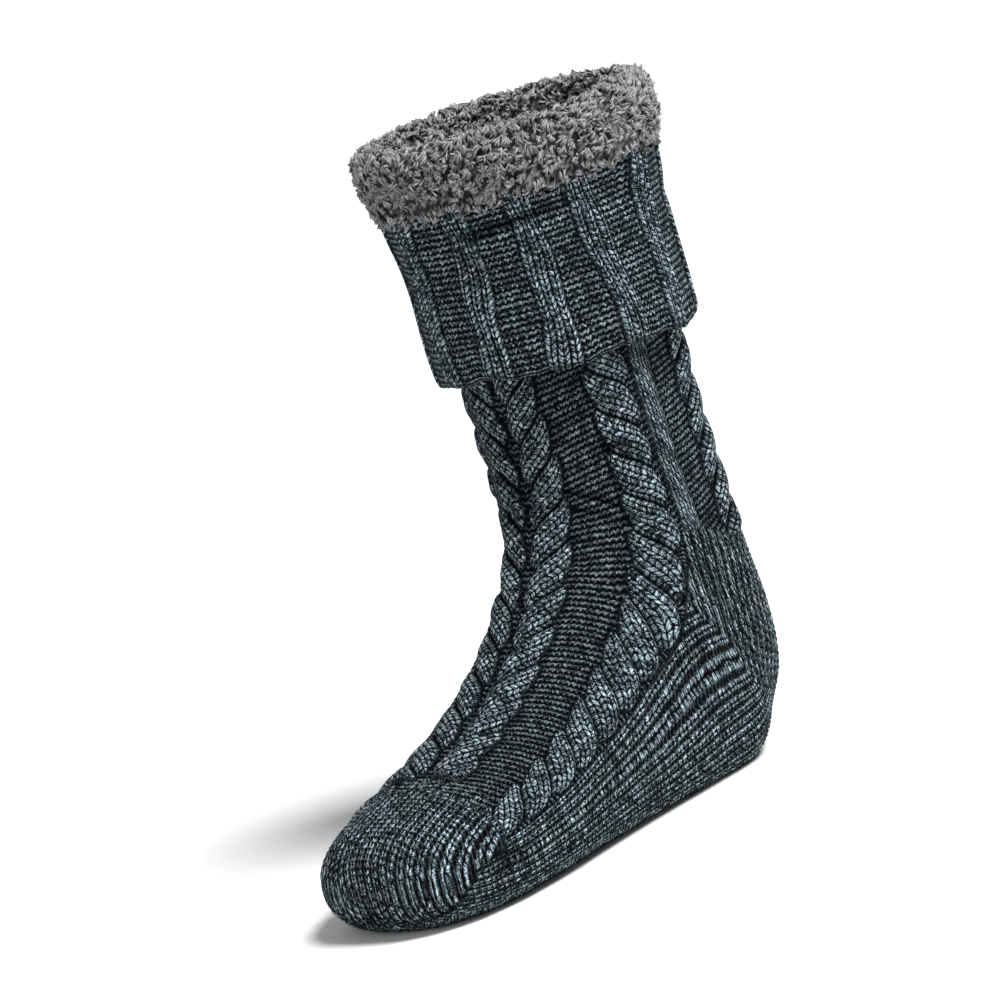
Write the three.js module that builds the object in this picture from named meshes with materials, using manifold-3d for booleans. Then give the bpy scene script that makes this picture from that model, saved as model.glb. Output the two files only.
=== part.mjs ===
// Knitted slipper sock standing flat: leg upright over the heel, toe towards +X, the sock's left side
// towards +Y, up +Z, in millimetres.
import * as THREE from 'three';
import { mergeVertices } from 'three/addons/utils/BufferGeometryUtils.js';
import Module from 'manifold-3d';

const wasm = await Module();
wasm.setup();

// Driving sizes
const footLength = 275; // heel back to toe tip, outside
const ballWidth = 112; // across the ball of the foot, outside
const ankleHeight = 126; // floor to the bend in front of the ankle
const legWidth = 98; // side to side below the cuff
const legDepth = 104; // front to back below the cuff
const shaftLength = 187; // ankle bend to the leg's top edge
const knitWall = 3; // one layer of knit
const archLift = 2.5; // how far the sole rises under the arch
const archStart = 0.285; // share of footLength from the heel
const archEnd = 0.57;
const clearance = 0.3; // between pieces that meet

const cableHeight = 3.2; // crown of a cable above the purl ground
const cablePitch = 20; // from one crossing to the next
const toeCapLength = 60; // toe tip to the end of the cables, along the top

const cuffLength = 80; // lower to upper edge
const cuffWall = 3.6; // purl panels of the doubled knit
const cuffFlare = 5.8; // how far the lower edge stands off the leg
const cordHeight = 1.6; // cords of the cuff above its panels
const cordSets = 12;
const cordWidth = 4.5;

const collarSkirt = 33; // height of the fleece outside
const collarLining = 24; // how far it reaches down inside
const collarCrown = 11; // fleece above the leg's top edge
const pileOutside = 9.5;
const pileInside = 6.5;
const lockLength = 11;
const lockWidth = 9;
const lockRows = 3;
const locksAround = 22;

const tabWidth = 14.5;
const tabLength = 27; // height of the part that shows
const tabTuck = 7; // part folded up behind the cuff
const tabThickness = 1.2;
const tabAngle = 231; // from the front towards the left side, so behind on the right

const dotRadius = 3.3;
const dotHeight = 0.9;
const dotAcross = 11; // half the spacing in a row
const dotAlong = 17.5; // from row to row
const dotRimShare = 0.82; // flat face against the dot's foot
const dotSides = 8;

const turnSteps = 38; // facets round the inside of the leg and the fleece

// Sections from toe tip to ankle: where the instep's and the sole's line lie along the foot (shares of
// footLength from the heel) and above the floor (shares of ankleHeight), the width (share of ballWidth),
// the height of the widest line (share of the section) and how square its lower half is.
const footSections = [
  { topAt: 1.0, topUp: 0.17, soleAt: 1.0, soleUp: 0.17, wide: 0.0, waist: 0.45, square: 2.2 },
  { topAt: 0.987, topUp: 0.285, soleAt: 0.989, soleUp: 0.06, wide: 0.44, waist: 0.45, square: 2.3 },
  { topAt: 0.947, topUp: 0.355, soleAt: 0.956, soleUp: 0.008, wide: 0.73, waist: 0.44, square: 2.6 },
  { topAt: 0.884, topUp: 0.4, soleAt: 0.898, soleUp: -0.02, wide: 0.9, waist: 0.43, square: 2.9 },
  { topAt: 0.795, topUp: 0.448, soleAt: 0.807, soleUp: -0.026, wide: 0.99, waist: 0.42, square: 3.1 },
  { topAt: 0.7, topUp: 0.52, soleAt: 0.713, soleUp: -0.026, wide: 1.0, waist: 0.41, square: 3.1 },
  { topAt: 0.608, topUp: 0.622, soleAt: 0.604, soleUp: -0.026, wide: 0.96, waist: 0.4, square: 3.1 },
  { topAt: 0.532, topUp: 0.74, soleAt: 0.487, soleUp: -0.03, wide: 0.93, waist: 0.4, square: 3.1 },
  { topAt: 0.476, topUp: 0.86, soleAt: 0.378, soleUp: -0.036, wide: 0.91, waist: 0.41, square: 3.2 },
  { topAt: 0.45, topUp: 0.93, soleAt: 0.269, soleUp: -0.04, wide: 0.9, waist: 0.43, square: 3.3 },
  { topAt: 0.43, topUp: 1.0, soleAt: 0.16, soleUp: -0.034, wide: 0.895, waist: 0.45, square: 3.1 },
];

// Sections round the heel and up the leg: the shin's and the calf's line behind or before the heel
// (shares of legDepth from the heel's back) and their height, as a share of ankleHeight while they go
// round the heel and a share of shaftLength above that, and the width (share of legWidth).
const legSections = [
  { shinAt: 1.098, shinUp: 0.05, calfAt: 0.165, heelUp: 0.05, calfUp: 0.0, wide: 1.02 },
  { shinAt: 1.07, shinUp: 0.095, calfAt: 0.04, heelUp: 0.19, calfUp: 0.0, wide: 1.02 },
  { shinAt: 1.05, shinUp: 0.135, calfAt: 0.0, heelUp: 0.4, calfUp: 0.0, wide: 1.025 },
  { shinAt: 1.038, shinUp: 0.172, calfAt: 0.027, heelUp: 0.64, calfUp: 0.0, wide: 1.025 },
  { shinAt: 1.033, shinUp: 0.215, calfAt: 0.056, heelUp: 0.89, calfUp: 0.0, wide: 1.02 },
  { shinAt: 1.034, shinUp: 0.277, calfAt: 0.06, heelUp: 1.0, calfUp: 0.12, wide: 1.01 },
  { shinAt: 1.039, shinUp: 0.36, calfAt: 0.048, heelUp: 1.0, calfUp: 0.31, wide: 1.0 },
  { shinAt: 1.05, shinUp: 0.48, calfAt: 0.029, heelUp: 1.0, calfUp: 0.465, wide: 1.035 },
  { shinAt: 1.075, shinUp: 0.63, calfAt: 0.0, heelUp: 1.0, calfUp: 0.628, wide: 1.1 },
  { shinAt: 1.115, shinUp: 0.8, calfAt: -0.04, heelUp: 1.0, calfUp: 0.8, wide: 1.18 },
  { shinAt: 1.155, shinUp: 1.0, calfAt: -0.08, heelUp: 1.0, calfUp: 1.0, wide: 1.26 },
];
const firstLegSection = footSections.length;

// Knit relief round one half of the leg: angle from the front centre, height (share of cableHeight) and
// how much of it swells and sinks with the cable's twist.
const reliefColumns = [
  { angle: 0, rise: 0.25, twist: 0.2 }, // trough of the front double cable
  { angle: 5, rise: 0.6, twist: 0.2 },
  { angle: 10, rise: 1, twist: 0.4 },
  { angle: 18, rise: 1, twist: 0.4 },
  { angle: 23, rise: 0.5, twist: 0.2 },
  { angle: 26, rise: 0, twist: 0 }, // purl panel
  { angle: 49, rise: 0, twist: 0 },
  { angle: 52, rise: 0.6, twist: 0.2 }, // side cable
  { angle: 58, rise: 1, twist: 0.4 },
  { angle: 67, rise: 1, twist: 0.4 },
  { angle: 73, rise: 0.6, twist: 0.2 },
  { angle: 76, rise: 0, twist: 0 },
  { angle: 79, rise: 0.35, twist: 0 }, // narrow knit column
  { angle: 84, rise: 0.45, twist: 0 },
  { angle: 90, rise: 0, twist: 0 },
  { angle: 105, rise: 0, twist: 0 },
  { angle: 108, rise: 0.6, twist: 0.2 }, // rear side cable
  { angle: 114, rise: 1, twist: 0.4 },
  { angle: 122, rise: 1, twist: 0.4 },
  { angle: 127, rise: 0.6, twist: 0.2 },
  { angle: 131, rise: 0, twist: 0 },
  { angle: 155, rise: 0, twist: 0 },
  { angle: 160, rise: 0.8, twist: 0.3 }, // half of the rear double cable
  { angle: 168, rise: 1, twist: 0.4 },
  { angle: 175, rise: 0.6, twist: 0.2 },
  { angle: 180, rise: 0.25, twist: 0.2 },
];
const frontColumnsEnd = 77; // columns before this angle run on over the instep
const rearCablesEnd = 0.78; // height where the others end at the back, share of ankleHeight
const fadeLength = 14; // over which a cable sinks into plain knit

// The sock's main form
const sections = [
  ...footSections.map((row) => ({
    top: new THREE.Vector3(row.topAt * footLength, 0, row.topUp * ankleHeight),
    bottom: new THREE.Vector3(row.soleAt * footLength, 0, row.soleUp * ankleHeight),
    form: new THREE.Vector3((row.wide * ballWidth) / 2, row.waist, row.square),
  })),
  ...legSections.map((row) => ({
    top: new THREE.Vector3(row.shinAt * legDepth, 0, ankleHeight + row.shinUp * shaftLength),
    bottom: new THREE.Vector3(
      row.calfAt * legDepth,
      0,
      row.heelUp * ankleHeight + row.calfUp * shaftLength,
    ),
    form: new THREE.Vector3((row.wide * legWidth) / 2, 0.5, 2.15),
  })),
];
const lastSection = sections.length - 1;
const topLine = new THREE.CatmullRomCurve3(sections.map((row) => row.top));
const bottomLine = new THREE.CatmullRomCurve3(sections.map((row) => row.bottom));
const formLine = new THREE.CatmullRomCurve3(sections.map((row) => row.form));
const soleFloor = dotHeight + clearance;
const upperSquare = 2.1;

const radians = (angle) => (angle * Math.PI) / 180;
const smooth = (share) => THREE.MathUtils.smoothstep(share, 0, 1);

// Height of the sole's flat underside: level under heel and forefoot, lifted in a soft wave between.
function soleHeight(along) {
  const share = THREE.MathUtils.inverseLerp(archStart, archEnd, along / footLength);
  return soleFloor + archLift * Math.sin(Math.PI * THREE.MathUtils.clamp(share, 0, 1)) ** 2;
}

// Point on the plain form at a place between sections and an angle from the front centre. Each half of
// the section is a superellipse about its widest line, pressed flat on the sole's underside.
function formPoint(place, angle) {
  const share = THREE.MathUtils.clamp(place / lastSection, 0, 1);
  const top = topLine.getPoint(share);
  const bottom = bottomLine.getPoint(share);
  const form = formLine.getPoint(share);
  const axis = top.sub(bottom);
  const forward = Math.cos(angle);
  const sideways = Math.sin(angle);
  const power = 2 / (forward >= 0 ? upperSquare : form.z);
  const reach = Math.abs(forward) ** power;
  const along = forward >= 0 ? form.y + (1 - form.y) * reach : form.y - form.y * reach;
  const point = bottom.addScaledVector(axis, along);
  point.z += soleFloor;
  point.z = Math.max(point.z, soleHeight(point.x));
  point.y = Math.sign(sideways) * Math.abs(sideways) ** power * form.x;
  return point;
}

// Outward direction there, square to two short steps along the surface.
function formNormal(place, angle) {
  const step = 0.04;
  const before = Math.max(place - step, 0.02);
  const after = Math.min(place + step, lastSection);
  const alongStep = formPoint(after, angle).sub(formPoint(before, angle));
  const roundStep = formPoint(place, angle + step).sub(formPoint(place, angle - step));
  return roundStep.cross(alongStep).normalize();
}

function offsetPoint(place, angle, offset) {
  return formPoint(place, angle).addScaledVector(formNormal(place, angle), offset);
}

// Place of the leg's section whose front lies at a height above the sole.
function placeAtHeight(height) {
  let low = firstLegSection - 1;
  let high = lastSection;
  for (let step = 0; step < 30; step += 1) {
    const middle = (low + high) / 2;
    if (topLine.getPoint(middle / lastSection).z < height) low = middle;
    else high = middle;
  }
  return low;
}

// Length of the instep's or sole's line from the toe tip to each of many even places.
const runSteps = 400;
function lineRun(line) {
  const run = [0];
  let last = line.getPoint(0);
  for (let step = 1; step <= runSteps; step += 1) {
    const next = line.getPoint(step / runSteps);
    run.push(run[step - 1] + next.distanceTo(last));
    last = next;
  }
  return run;
}
const topRun = lineRun(topLine);
const bottomRun = lineRun(bottomLine);

function runAt(run, place) {
  const step = THREE.MathUtils.clamp((place / lastSection) * runSteps, 0, runSteps - 1e-6);
  const whole = Math.floor(step);
  return THREE.MathUtils.lerp(run[whole], run[whole + 1], step - whole);
}

function placeAtTopRun(run) {
  const step = topRun.findIndex((length) => length >= run);
  const before = topRun[step - 1];
  return ((step - 1 + (run - before) / (topRun[step] - before)) / runSteps) * lastSection;
}

// Solids
function toManifold(geometry) {
  const bare = geometry.clone();
  bare.deleteAttribute('normal');
  bare.deleteAttribute('uv');
  const merged = mergeVertices(bare, 1e-4);
  return new wasm.Manifold(
    new wasm.Mesh({
      numProp: 3,
      vertProperties: new Float32Array(merged.attributes.position.array),
      triVerts: new Uint32Array(merged.index.array),
    }),
  );
}

function toGeometry(solid) {
  const mesh = solid.getMesh();
  const geometry = new THREE.BufferGeometry();
  geometry.setAttribute('position', new THREE.BufferAttribute(mesh.vertProperties, 3));
  geometry.setIndex(new THREE.BufferAttribute(mesh.triVerts, 1));
  geometry.computeVertexNormals();
  return geometry;
}

function indexedGeometry(points, triangles) {
  const geometry = new THREE.BufferGeometry();
  geometry.setAttribute(
    'position',
    new THREE.Float32BufferAttribute(points.flatMap((point) => point.toArray()), 3),
  );
  geometry.setIndex(triangles.flat());
  geometry.computeVertexNormals();
  return geometry;
}

// Quads between neighbouring rows of a grid whose rows have the same number of points.
function gridTriangles(rowCount, columnCount, rowsClose) {
  const triangles = [];
  const lastRow = rowsClose ? rowCount : rowCount - 1;
  for (let row = 0; row < lastRow; row += 1) {
    for (let column = 0; column < columnCount; column += 1) {
      const next = (row + 1) % rowCount;
      const beside = (column + 1) % columnCount;
      const a = row * columnCount + column;
      const b = row * columnCount + beside;
      const c = next * columnCount + beside;
      const d = next * columnCount + column;
      triangles.push([a, b, c], [a, c, d]);
    }
  }
  return triangles;
}

// A tube of rings closed by a fan to a point at each end.
function tubeSolid(startPoint, rings, endPoint) {
  const count = rings[0].length;
  const points = [...rings.flat(), startPoint, endPoint];
  const start = rings.length * count;
  const triangles = gridTriangles(rings.length, count, false);
  for (let column = 0; column < count; column += 1) {
    const beside = (column + 1) % count;
    const lastRing = (rings.length - 1) * count;
    triangles.push([start, beside, column]);
    triangles.push([start + 1, lastRing + column, lastRing + beside]);
  }
  return indexedGeometry(points, triangles);
}

// A profile carried all the way round the leg, its profiles in order against the turn.
function ringSolid(profiles) {
  const ordered = [...profiles].reverse();
  return indexedGeometry(ordered.flat(), gridTriangles(ordered.length, ordered[0].length, true));
}

// A profile carried part of the way, with its two ends closed.
function stripSolid(profiles, flatProfile) {
  const ordered = [...profiles].reverse();
  const count = flatProfile.length;
  const triangles = gridTriangles(ordered.length, count, false);
  const lastRow = (ordered.length - 1) * count;
  for (const [a, b, c] of THREE.ShapeUtils.triangulateShape(flatProfile, [])) {
    triangles.push([a, b, c], [lastRow + a, lastRow + c, lastRow + b]);
  }
  return indexedGeometry(ordered.flat(), triangles);
}

function fullTurn(count) {
  return Array.from({ length: count }, (_, step) => (step / count) * 2 * Math.PI);
}

// Relief of the knit at a place: the table's columns, cut off at the toe cap, the ankle and the cuff.
const cuffTop = ankleHeight + shaftLength + collarCrown - collarSkirt - clearance;
const cuffLow = cuffTop - cuffLength;

function reliefAt(place, column) {
  const run = runAt(topRun, place);
  const twist = 0.5 + 0.5 * Math.cos((2 * Math.PI * run) / cablePitch);
  const front = formPoint(place, 0);
  const back = formPoint(place, Math.PI);
  const beforeCuff = (cuffLow + fadeLength - front.z) / fadeLength;
  const fromToeCap = (run - toeCapLength) / fadeLength;
  const fromHeel = (back.z - rearCablesEnd * ankleHeight) / fadeLength;
  const start = column.angle < frontColumnsEnd ? fromToeCap : fromHeel;
  const onLeg = column.angle < frontColumnsEnd || place > firstLegSection ? 1 : 0;
  const shown = smooth(start) * smooth(beforeCuff) * onLeg;
  return cableHeight * column.rise * shown * (1 - column.twist * (1 - twist));
}

// Rings of the body lie at every half twist of the cables, closer where the heel's side is longer.
function bodyPlaces() {
  const coarse = 20;
  const toeRings = [0.12, 0.35, 0.65];
  const halfTwist = cablePitch / 2;
  const length = topRun[runSteps];
  const places = toeRings.map((share) => placeAtTopRun(share * halfTwist));
  let last = 0;
  for (let run = halfTwist; run < length - halfTwist / 2; run += halfTwist) {
    const next = placeAtTopRun(run);
    const heelSide = runAt(bottomRun, next) - runAt(bottomRun, last);
    const parts = last > 0 ? Math.max(1, Math.ceil(heelSide / coarse)) : 1;
    for (let part = 1; part <= parts; part += 1) places.push(last + ((next - last) * part) / parts);
    last = next;
  }
  places.push(lastSection);
  return places;
}

// Leg, heel, foot and toe, knitted whole: the outer form with its cables less the same form inside.
function sockBody() {
  const half = reliefColumns.map((column) => ({ column, angle: radians(column.angle) }));
  const otherHalf = half
    .slice(1, -1)
    .reverse()
    .map(({ column, angle }) => ({ column, angle: 2 * Math.PI - angle }));
  const around = [...half, ...otherHalf];
  const outerRings = bodyPlaces().map((place) =>
    around.map(({ column, angle }) => offsetPoint(place, angle, reliefAt(place, column))),
  );
  const innerAngles = fullTurn(turnSteps);
  const innerRings = [];
  const innerCount = 25;
  const innerStart = 0.35;
  for (let ring = 0; ring < innerCount; ring += 1) {
    const place = THREE.MathUtils.lerp(innerStart, lastSection, ring / (innerCount - 1));
    innerRings.push(innerAngles.map((angle) => offsetPoint(place, angle, -knitWall)));
  }
  const above = new THREE.Vector3(0, 0, 2 * knitWall);
  innerRings.push(innerRings[innerCount - 1].map((point) => point.clone().add(above)));
  const toe = formPoint(0, 0);
  const mouth = formPoint(lastSection, 0).add(formPoint(lastSection, Math.PI)).multiplyScalar(0.5);
  const outer = toManifold(tubeSolid(toe, outerRings, mouth));
  const innerToe = toe.clone().sub(new THREE.Vector3(knitWall, 0, 0));
  const inner = toManifold(tubeSolid(innerToe, innerRings, mouth.clone().add(above)));
  return toGeometry(outer.subtract(inner));
}

// The cuff follows the leg: its profile stands off the leg at the lower edge and lies on it higher up.
function cuffPlace(share) {
  return placeAtHeight(cuffLow + cuffLength * share);
}

function cuffStandOff(share) {
  return clearance + (cuffFlare - clearance) * (1 - smooth(share / 0.8));
}

// Share of cordHeight round one set: three cords side by side, then the flat panel.
const cordProfile = [
  { across: -1.5, rise: 0 },
  { across: -1, rise: 1 },
  { across: -0.5, rise: 0.35 },
  { across: 0, rise: 1 },
  { across: 0.5, rise: 0.35 },
  { across: 1, rise: 1 },
  { across: 1.5, rise: 0 },
];

function ribbedCuff() {
  const radius = (legWidth + legDepth) / 4 + cuffFlare + cuffWall;
  const cordTurn = cordWidth / radius;
  const panelMiddle = { across: Math.PI / cordSets / cordTurn, rise: 0 };
  const profiles = [];
  for (let set = 0; set < cordSets; set += 1) {
    for (const { across, rise } of [...cordProfile, panelMiddle]) {
      const angle = ((set + 0.5) / cordSets) * 2 * Math.PI + across * cordTurn;
      const cord = cordHeight * rise;
      const outside = [0.0, 0.05, 0.4, 1.0].map((share, step) => {
        const roll = step === 0 ? -0.8 : 0;
        return offsetPoint(cuffPlace(share), angle, cuffStandOff(share) + cuffWall + cord + roll);
      });
      const inside = [1.0, 0.45, 0.0].map((share) =>
        offsetPoint(cuffPlace(share), angle, cuffStandOff(share)),
      );
      profiles.push([...outside, ...inside]);
    }
  }
  return toGeometry(toManifold(ringSolid(profiles)));
}

// The fleece hooks over the leg's top edge: outside skirt, crown, lining and the slot for the leg.
const topEdge = ankleHeight + shaftLength;
const collarTop = topEdge + collarCrown;
const collarLow = collarTop - collarSkirt;
const collarProfile = [
  { height: collarLow, offset: clearance },
  { height: collarLow, offset: 0.72 * pileOutside },
  { height: collarLow + 0.25 * collarSkirt, offset: pileOutside },
  { height: collarLow + 0.72 * collarSkirt, offset: pileOutside },
  { height: collarTop - 0.25 * collarCrown, offset: 0.72 * pileOutside },
  { height: collarTop, offset: 0.2 * pileOutside },
  { height: collarTop, offset: -0.5 * pileInside },
  { height: collarTop - 0.35 * collarCrown, offset: -0.95 * pileInside - knitWall },
  { height: topEdge - 0.5 * collarLining, offset: -pileInside - knitWall },
  { height: topEdge - collarLining, offset: -0.8 * pileInside - knitWall },
  { height: topEdge - collarLining, offset: -clearance - knitWall },
  { height: topEdge - 0.5 * collarLining, offset: -clearance - knitWall },
  { height: topEdge + clearance, offset: -clearance - knitWall },
  { height: topEdge + clearance, offset: clearance },
  { height: topEdge - 0.5 * collarLining, offset: clearance },
];

// A point beside the leg's wall: above the top edge the wall's own direction is carried straight up.
function collarPoint(height, angle, offset) {
  const place = placeAtHeight(Math.min(height, topEdge));
  const point = offsetPoint(place, angle, offset);
  point.z = height + soleFloor;
  return point;
}

// Clumps of pile sit in staggered rows over the skirt and the crown, each leaning its own way.
function fleeceLock(row, column) {
  const turn = ((column + 0.5 * (row % 2)) / locksAround) * 2 * Math.PI;
  const sway = Math.sin(12.9 * column + 4.1 * row);
  const share = (row + 0.7 + 0.25 * sway) / (lockRows + 0.2);
  const rise = collarLow + share * collarSkirt;
  const crownShare = Math.max(0, rise - topEdge) / collarCrown;
  const root = collarPoint(rise - 0.2 * lockWidth * crownShare, turn, pileOutside * (0.85 - crownShare));
  const lock = new THREE.OctahedronGeometry(lockWidth / 2, 0);
  lock.scale(1, 1, lockLength / lockWidth);
  const outward = formNormal(placeAtHeight(Math.min(rise, topEdge)), turn);
  const direction = outward.add(new THREE.Vector3(0, 0, 1.6 * crownShare + 0.5 * sway)).normalize();
  const upright = new THREE.Vector3(0, 0, 1);
  lock.applyQuaternion(new THREE.Quaternion().setFromUnitVectors(upright, direction));
  lock.translate(root.x, root.y, root.z);
  return toManifold(lock);
}

function fleeceCollar() {
  const profiles = fullTurn(turnSteps).map((angle) =>
    collarProfile.map(({ height, offset }) => collarPoint(height, angle, offset)),
  );
  let collar = toManifold(ringSolid(profiles));
  for (let row = 0; row < lockRows; row += 1) {
    for (let column = 0; column < locksAround; column += 1) {
      collar = collar.add(fleeceLock(row, column));
    }
  }
  return toGeometry(collar);
}

// Leather folded over the cuff's lower edge: long flap outside, short one behind the cuff.
function leatherTab() {
  const low = -(clearance + tabThickness) / cuffLength;
  const fold = -clearance / cuffLength;
  const outside = cuffFlare + cuffWall + cordHeight + clearance;
  const inside = cuffStandOff(tabTuck / cuffLength) - 2 * clearance;
  const flatProfile = [
    new THREE.Vector2(low, outside + 0.4 * tabThickness),
    new THREE.Vector2(0, outside + tabThickness),
    new THREE.Vector2(0.5 * (tabLength / cuffLength), outside + tabThickness),
    new THREE.Vector2(tabLength / cuffLength, outside + tabThickness),
    new THREE.Vector2(tabLength / cuffLength, outside),
    new THREE.Vector2(0.5 * (tabLength / cuffLength), outside),
    new THREE.Vector2(fold, outside),
    new THREE.Vector2(fold, inside),
    new THREE.Vector2(tabTuck / cuffLength, inside),
    new THREE.Vector2(tabTuck / cuffLength, inside - tabThickness),
    new THREE.Vector2(0, inside - tabThickness),
    new THREE.Vector2(low, inside - 0.4 * tabThickness),
  ];
  const radius = (legWidth + legDepth) / 4 + outside;
  const halfTurn = tabWidth / 2 / radius;
  const profiles = [-1, -1 / 3, 1 / 3, 1].map((side) =>
    flatProfile.map(({ x: share, y: offset }) =>
      offsetPoint(cuffPlace(share), radians(tabAngle) + side * halfTurn, offset),
    ),
  );
  return toGeometry(toManifold(stripSolid(profiles, flatProfile)));
}

// Half the width of the sole's flat underside at a place along the foot, from the section's own curve.
function flatHalfWidth(along) {
  let low = 0;
  let high = lastSection / 2;
  for (let step = 0; step < 30; step += 1) {
    const middle = (low + high) / 2;
    if (bottomLine.getPoint(middle / lastSection).x > along) low = middle;
    else high = middle;
  }
  let width = 0;
  for (let angle = 180; angle > 100; angle -= 1) {
    const point = formPoint(low, radians(angle));
    if (point.z > soleHeight(point.x) + 0.02) break;
    width = point.y;
  }
  return width;
}

// Dots in staggered rows, wherever the sole is flat and wide enough for the whole dot.
function gripperDots() {
  const dots = [];
  const firstRow = 0.14 * footLength;
  const lastRow = 0.93 * footLength;
  let row = 0;
  for (let along = firstRow; along <= lastRow; along += dotAlong) {
    const odd = row % 2;
    for (let column = -3; column <= 3; column += 1) {
      const across = column * dotAcross;
      const inPattern = Math.abs(column) % 2 === odd;
      if (!inPattern || Math.abs(across) + dotRadius > flatHalfWidth(along)) continue;
      dots.push({ along, across, row, column });
    }
    row += 1;
  }
  return dots;
}

function dotGeometry() {
  const geometry = new THREE.CylinderGeometry(
    dotRadius,
    dotRadius * dotRimShare,
    dotHeight,
    dotSides,
  );
  geometry.rotateX(Math.PI / 2);
  return toGeometry(toManifold(geometry));
}

// Materials
const knit = new THREE.MeshStandardMaterial({ color: '#47535a', roughness: 0.95, metalness: 0 });
const cuffKnit = new THREE.MeshStandardMaterial({ color: '#434e54', roughness: 0.95, metalness: 0 });
const fleece = new THREE.MeshStandardMaterial({ color: '#67666a', roughness: 1, metalness: 0 });
const leather = new THREE.MeshStandardMaterial({ color: '#a85a2b', roughness: 0.6, metalness: 0 });
const silicone = new THREE.MeshStandardMaterial({ color: '#98a3a6', roughness: 0.35, metalness: 0 });

const group = new THREE.Group();

function addPiece(name, geometry, material) {
  const mesh = new THREE.Mesh(geometry, material.clone());
  mesh.name = name;
  group.add(mesh);
  return mesh;
}

addPiece('sock_body', sockBody(), knit);
addPiece('ribbed_cuff', ribbedCuff(), cuffKnit);
addPiece('fleece_collar', fleeceCollar(), fleece);
addPiece('leather_tab', leatherTab(), leather);
gripperDots().forEach(({ along, across, row, column }) => {
  const side = ['right', 'middle', 'left'][Math.sign(column) + 1];
  const name = `gripper_dot_row${row + 1}_${side}${Math.abs(column)}`;
  const dot = addPiece(name, dotGeometry(), silicone);
  const slope = (soleHeight(along + 1) - soleHeight(along - 1)) / 2;
  dot.position.set(along, across, soleHeight(along) - clearance - dotHeight / 2);
  dot.rotation.y = -Math.atan(slope);
});

// The origin lies on the floor under the middle of the whole sock.
group.updateMatrixWorld(true);
const box = new THREE.Box3().setFromObject(group, true);
const middle = box.getCenter(new THREE.Vector3());
group.position.set(-middle.x, -middle.y, -box.min.z);

export default group;
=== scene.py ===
import bpy
import math
import time
import numpy as np
from mathutils import Matrix, Vector


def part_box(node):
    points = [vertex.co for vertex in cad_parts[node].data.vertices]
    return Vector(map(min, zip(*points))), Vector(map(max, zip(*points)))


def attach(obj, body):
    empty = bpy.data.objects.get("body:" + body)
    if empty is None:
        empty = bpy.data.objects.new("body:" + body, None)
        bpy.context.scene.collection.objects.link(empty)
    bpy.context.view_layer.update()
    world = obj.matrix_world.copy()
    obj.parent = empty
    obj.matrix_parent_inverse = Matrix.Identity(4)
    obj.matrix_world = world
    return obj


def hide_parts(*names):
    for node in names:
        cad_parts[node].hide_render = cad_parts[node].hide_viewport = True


# A knitted slipper sock with a fleece lining. Everything is worked out in millimetres in the frame of
# the part's own sections (heel's back at x = 0, toe towards +X, left side towards +Y) and moved into
# the row's frame when a mesh is made.

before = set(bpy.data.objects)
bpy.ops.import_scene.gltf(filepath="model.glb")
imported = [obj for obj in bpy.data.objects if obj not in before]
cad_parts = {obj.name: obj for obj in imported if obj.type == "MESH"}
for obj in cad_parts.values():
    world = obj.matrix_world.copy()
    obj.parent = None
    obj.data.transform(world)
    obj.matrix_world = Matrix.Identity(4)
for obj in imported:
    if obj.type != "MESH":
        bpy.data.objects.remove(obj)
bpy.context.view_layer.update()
startTime = time.time()
mm = 0.001
rng = np.random.default_rng(20)


# Seconds since the start, then the stage's words.
def stageDone(words):
    print(f"{time.time() - startTime:6.1f} s  {words}", flush=True)


# Sizes of the last, as in the part's source.
sock = dict(
    footLength=275.0,
    ballWidth=112.0,
    ankleHeight=126.0,
    legWidth=98.0,
    legDepth=104.0,
    shaftLength=187.0,
    knitWall=3.0,
    archLift=2.5,
    archStart=0.285,  # share of the foot's length
    archEnd=0.57,
    soleFloor=1.2,  # the dots lift the sole by this
    upperSquare=2.1,
    cablePitch=20.0,  # from lump to lump
)

# From toe tip to ankle: instep's line, sole's line, width, height of the widest line, lower squareness.
footSections = [
    (1.0, 0.17, 1.0, 0.17, 0.0, 0.45, 2.2),
    (0.987, 0.285, 0.989, 0.06, 0.44, 0.45, 2.3),
    (0.947, 0.355, 0.956, 0.008, 0.73, 0.44, 2.6),
    (0.884, 0.4, 0.898, -0.02, 0.9, 0.43, 2.9),
    (0.795, 0.448, 0.807, -0.026, 0.99, 0.42, 3.1),
    (0.7, 0.52, 0.713, -0.026, 1.0, 0.41, 3.1),
    (0.608, 0.622, 0.604, -0.026, 0.96, 0.4, 3.1),
    (0.532, 0.74, 0.487, -0.03, 0.93, 0.4, 3.1),
    (0.476, 0.86, 0.378, -0.036, 0.91, 0.41, 3.2),
    (0.45, 0.93, 0.269, -0.04, 0.9, 0.43, 3.3),
    (0.43, 1.0, 0.16, -0.034, 0.895, 0.45, 3.1),
]

# Round the heel and up the leg: shin's line, calf's line (round the heel, then up the shaft), width.
legSections = [
    (1.098, 0.05, 0.165, 0.05, 0.0, 1.02),
    (1.07, 0.095, 0.04, 0.19, 0.0, 1.02),
    (1.05, 0.135, 0.0, 0.4, 0.0, 1.025),
    (1.038, 0.172, 0.027, 0.64, 0.0, 1.025),
    (1.033, 0.215, 0.056, 0.89, 0.0, 1.02),
    (1.034, 0.277, 0.06, 1.0, 0.12, 1.01),
    (1.039, 0.36, 0.048, 1.0, 0.31, 1.0),
    (1.05, 0.48, 0.029, 1.0, 0.465, 1.035),
    (1.075, 0.63, 0.0, 1.0, 0.628, 1.1),
    (1.115, 0.8, -0.04, 1.0, 0.8, 1.18),
    (1.155, 1.0, -0.08, 1.0, 1.0, 1.26),
]
firstLeg = len(footSections)
lastPlace = len(footSections) + len(legSections) - 1


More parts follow.
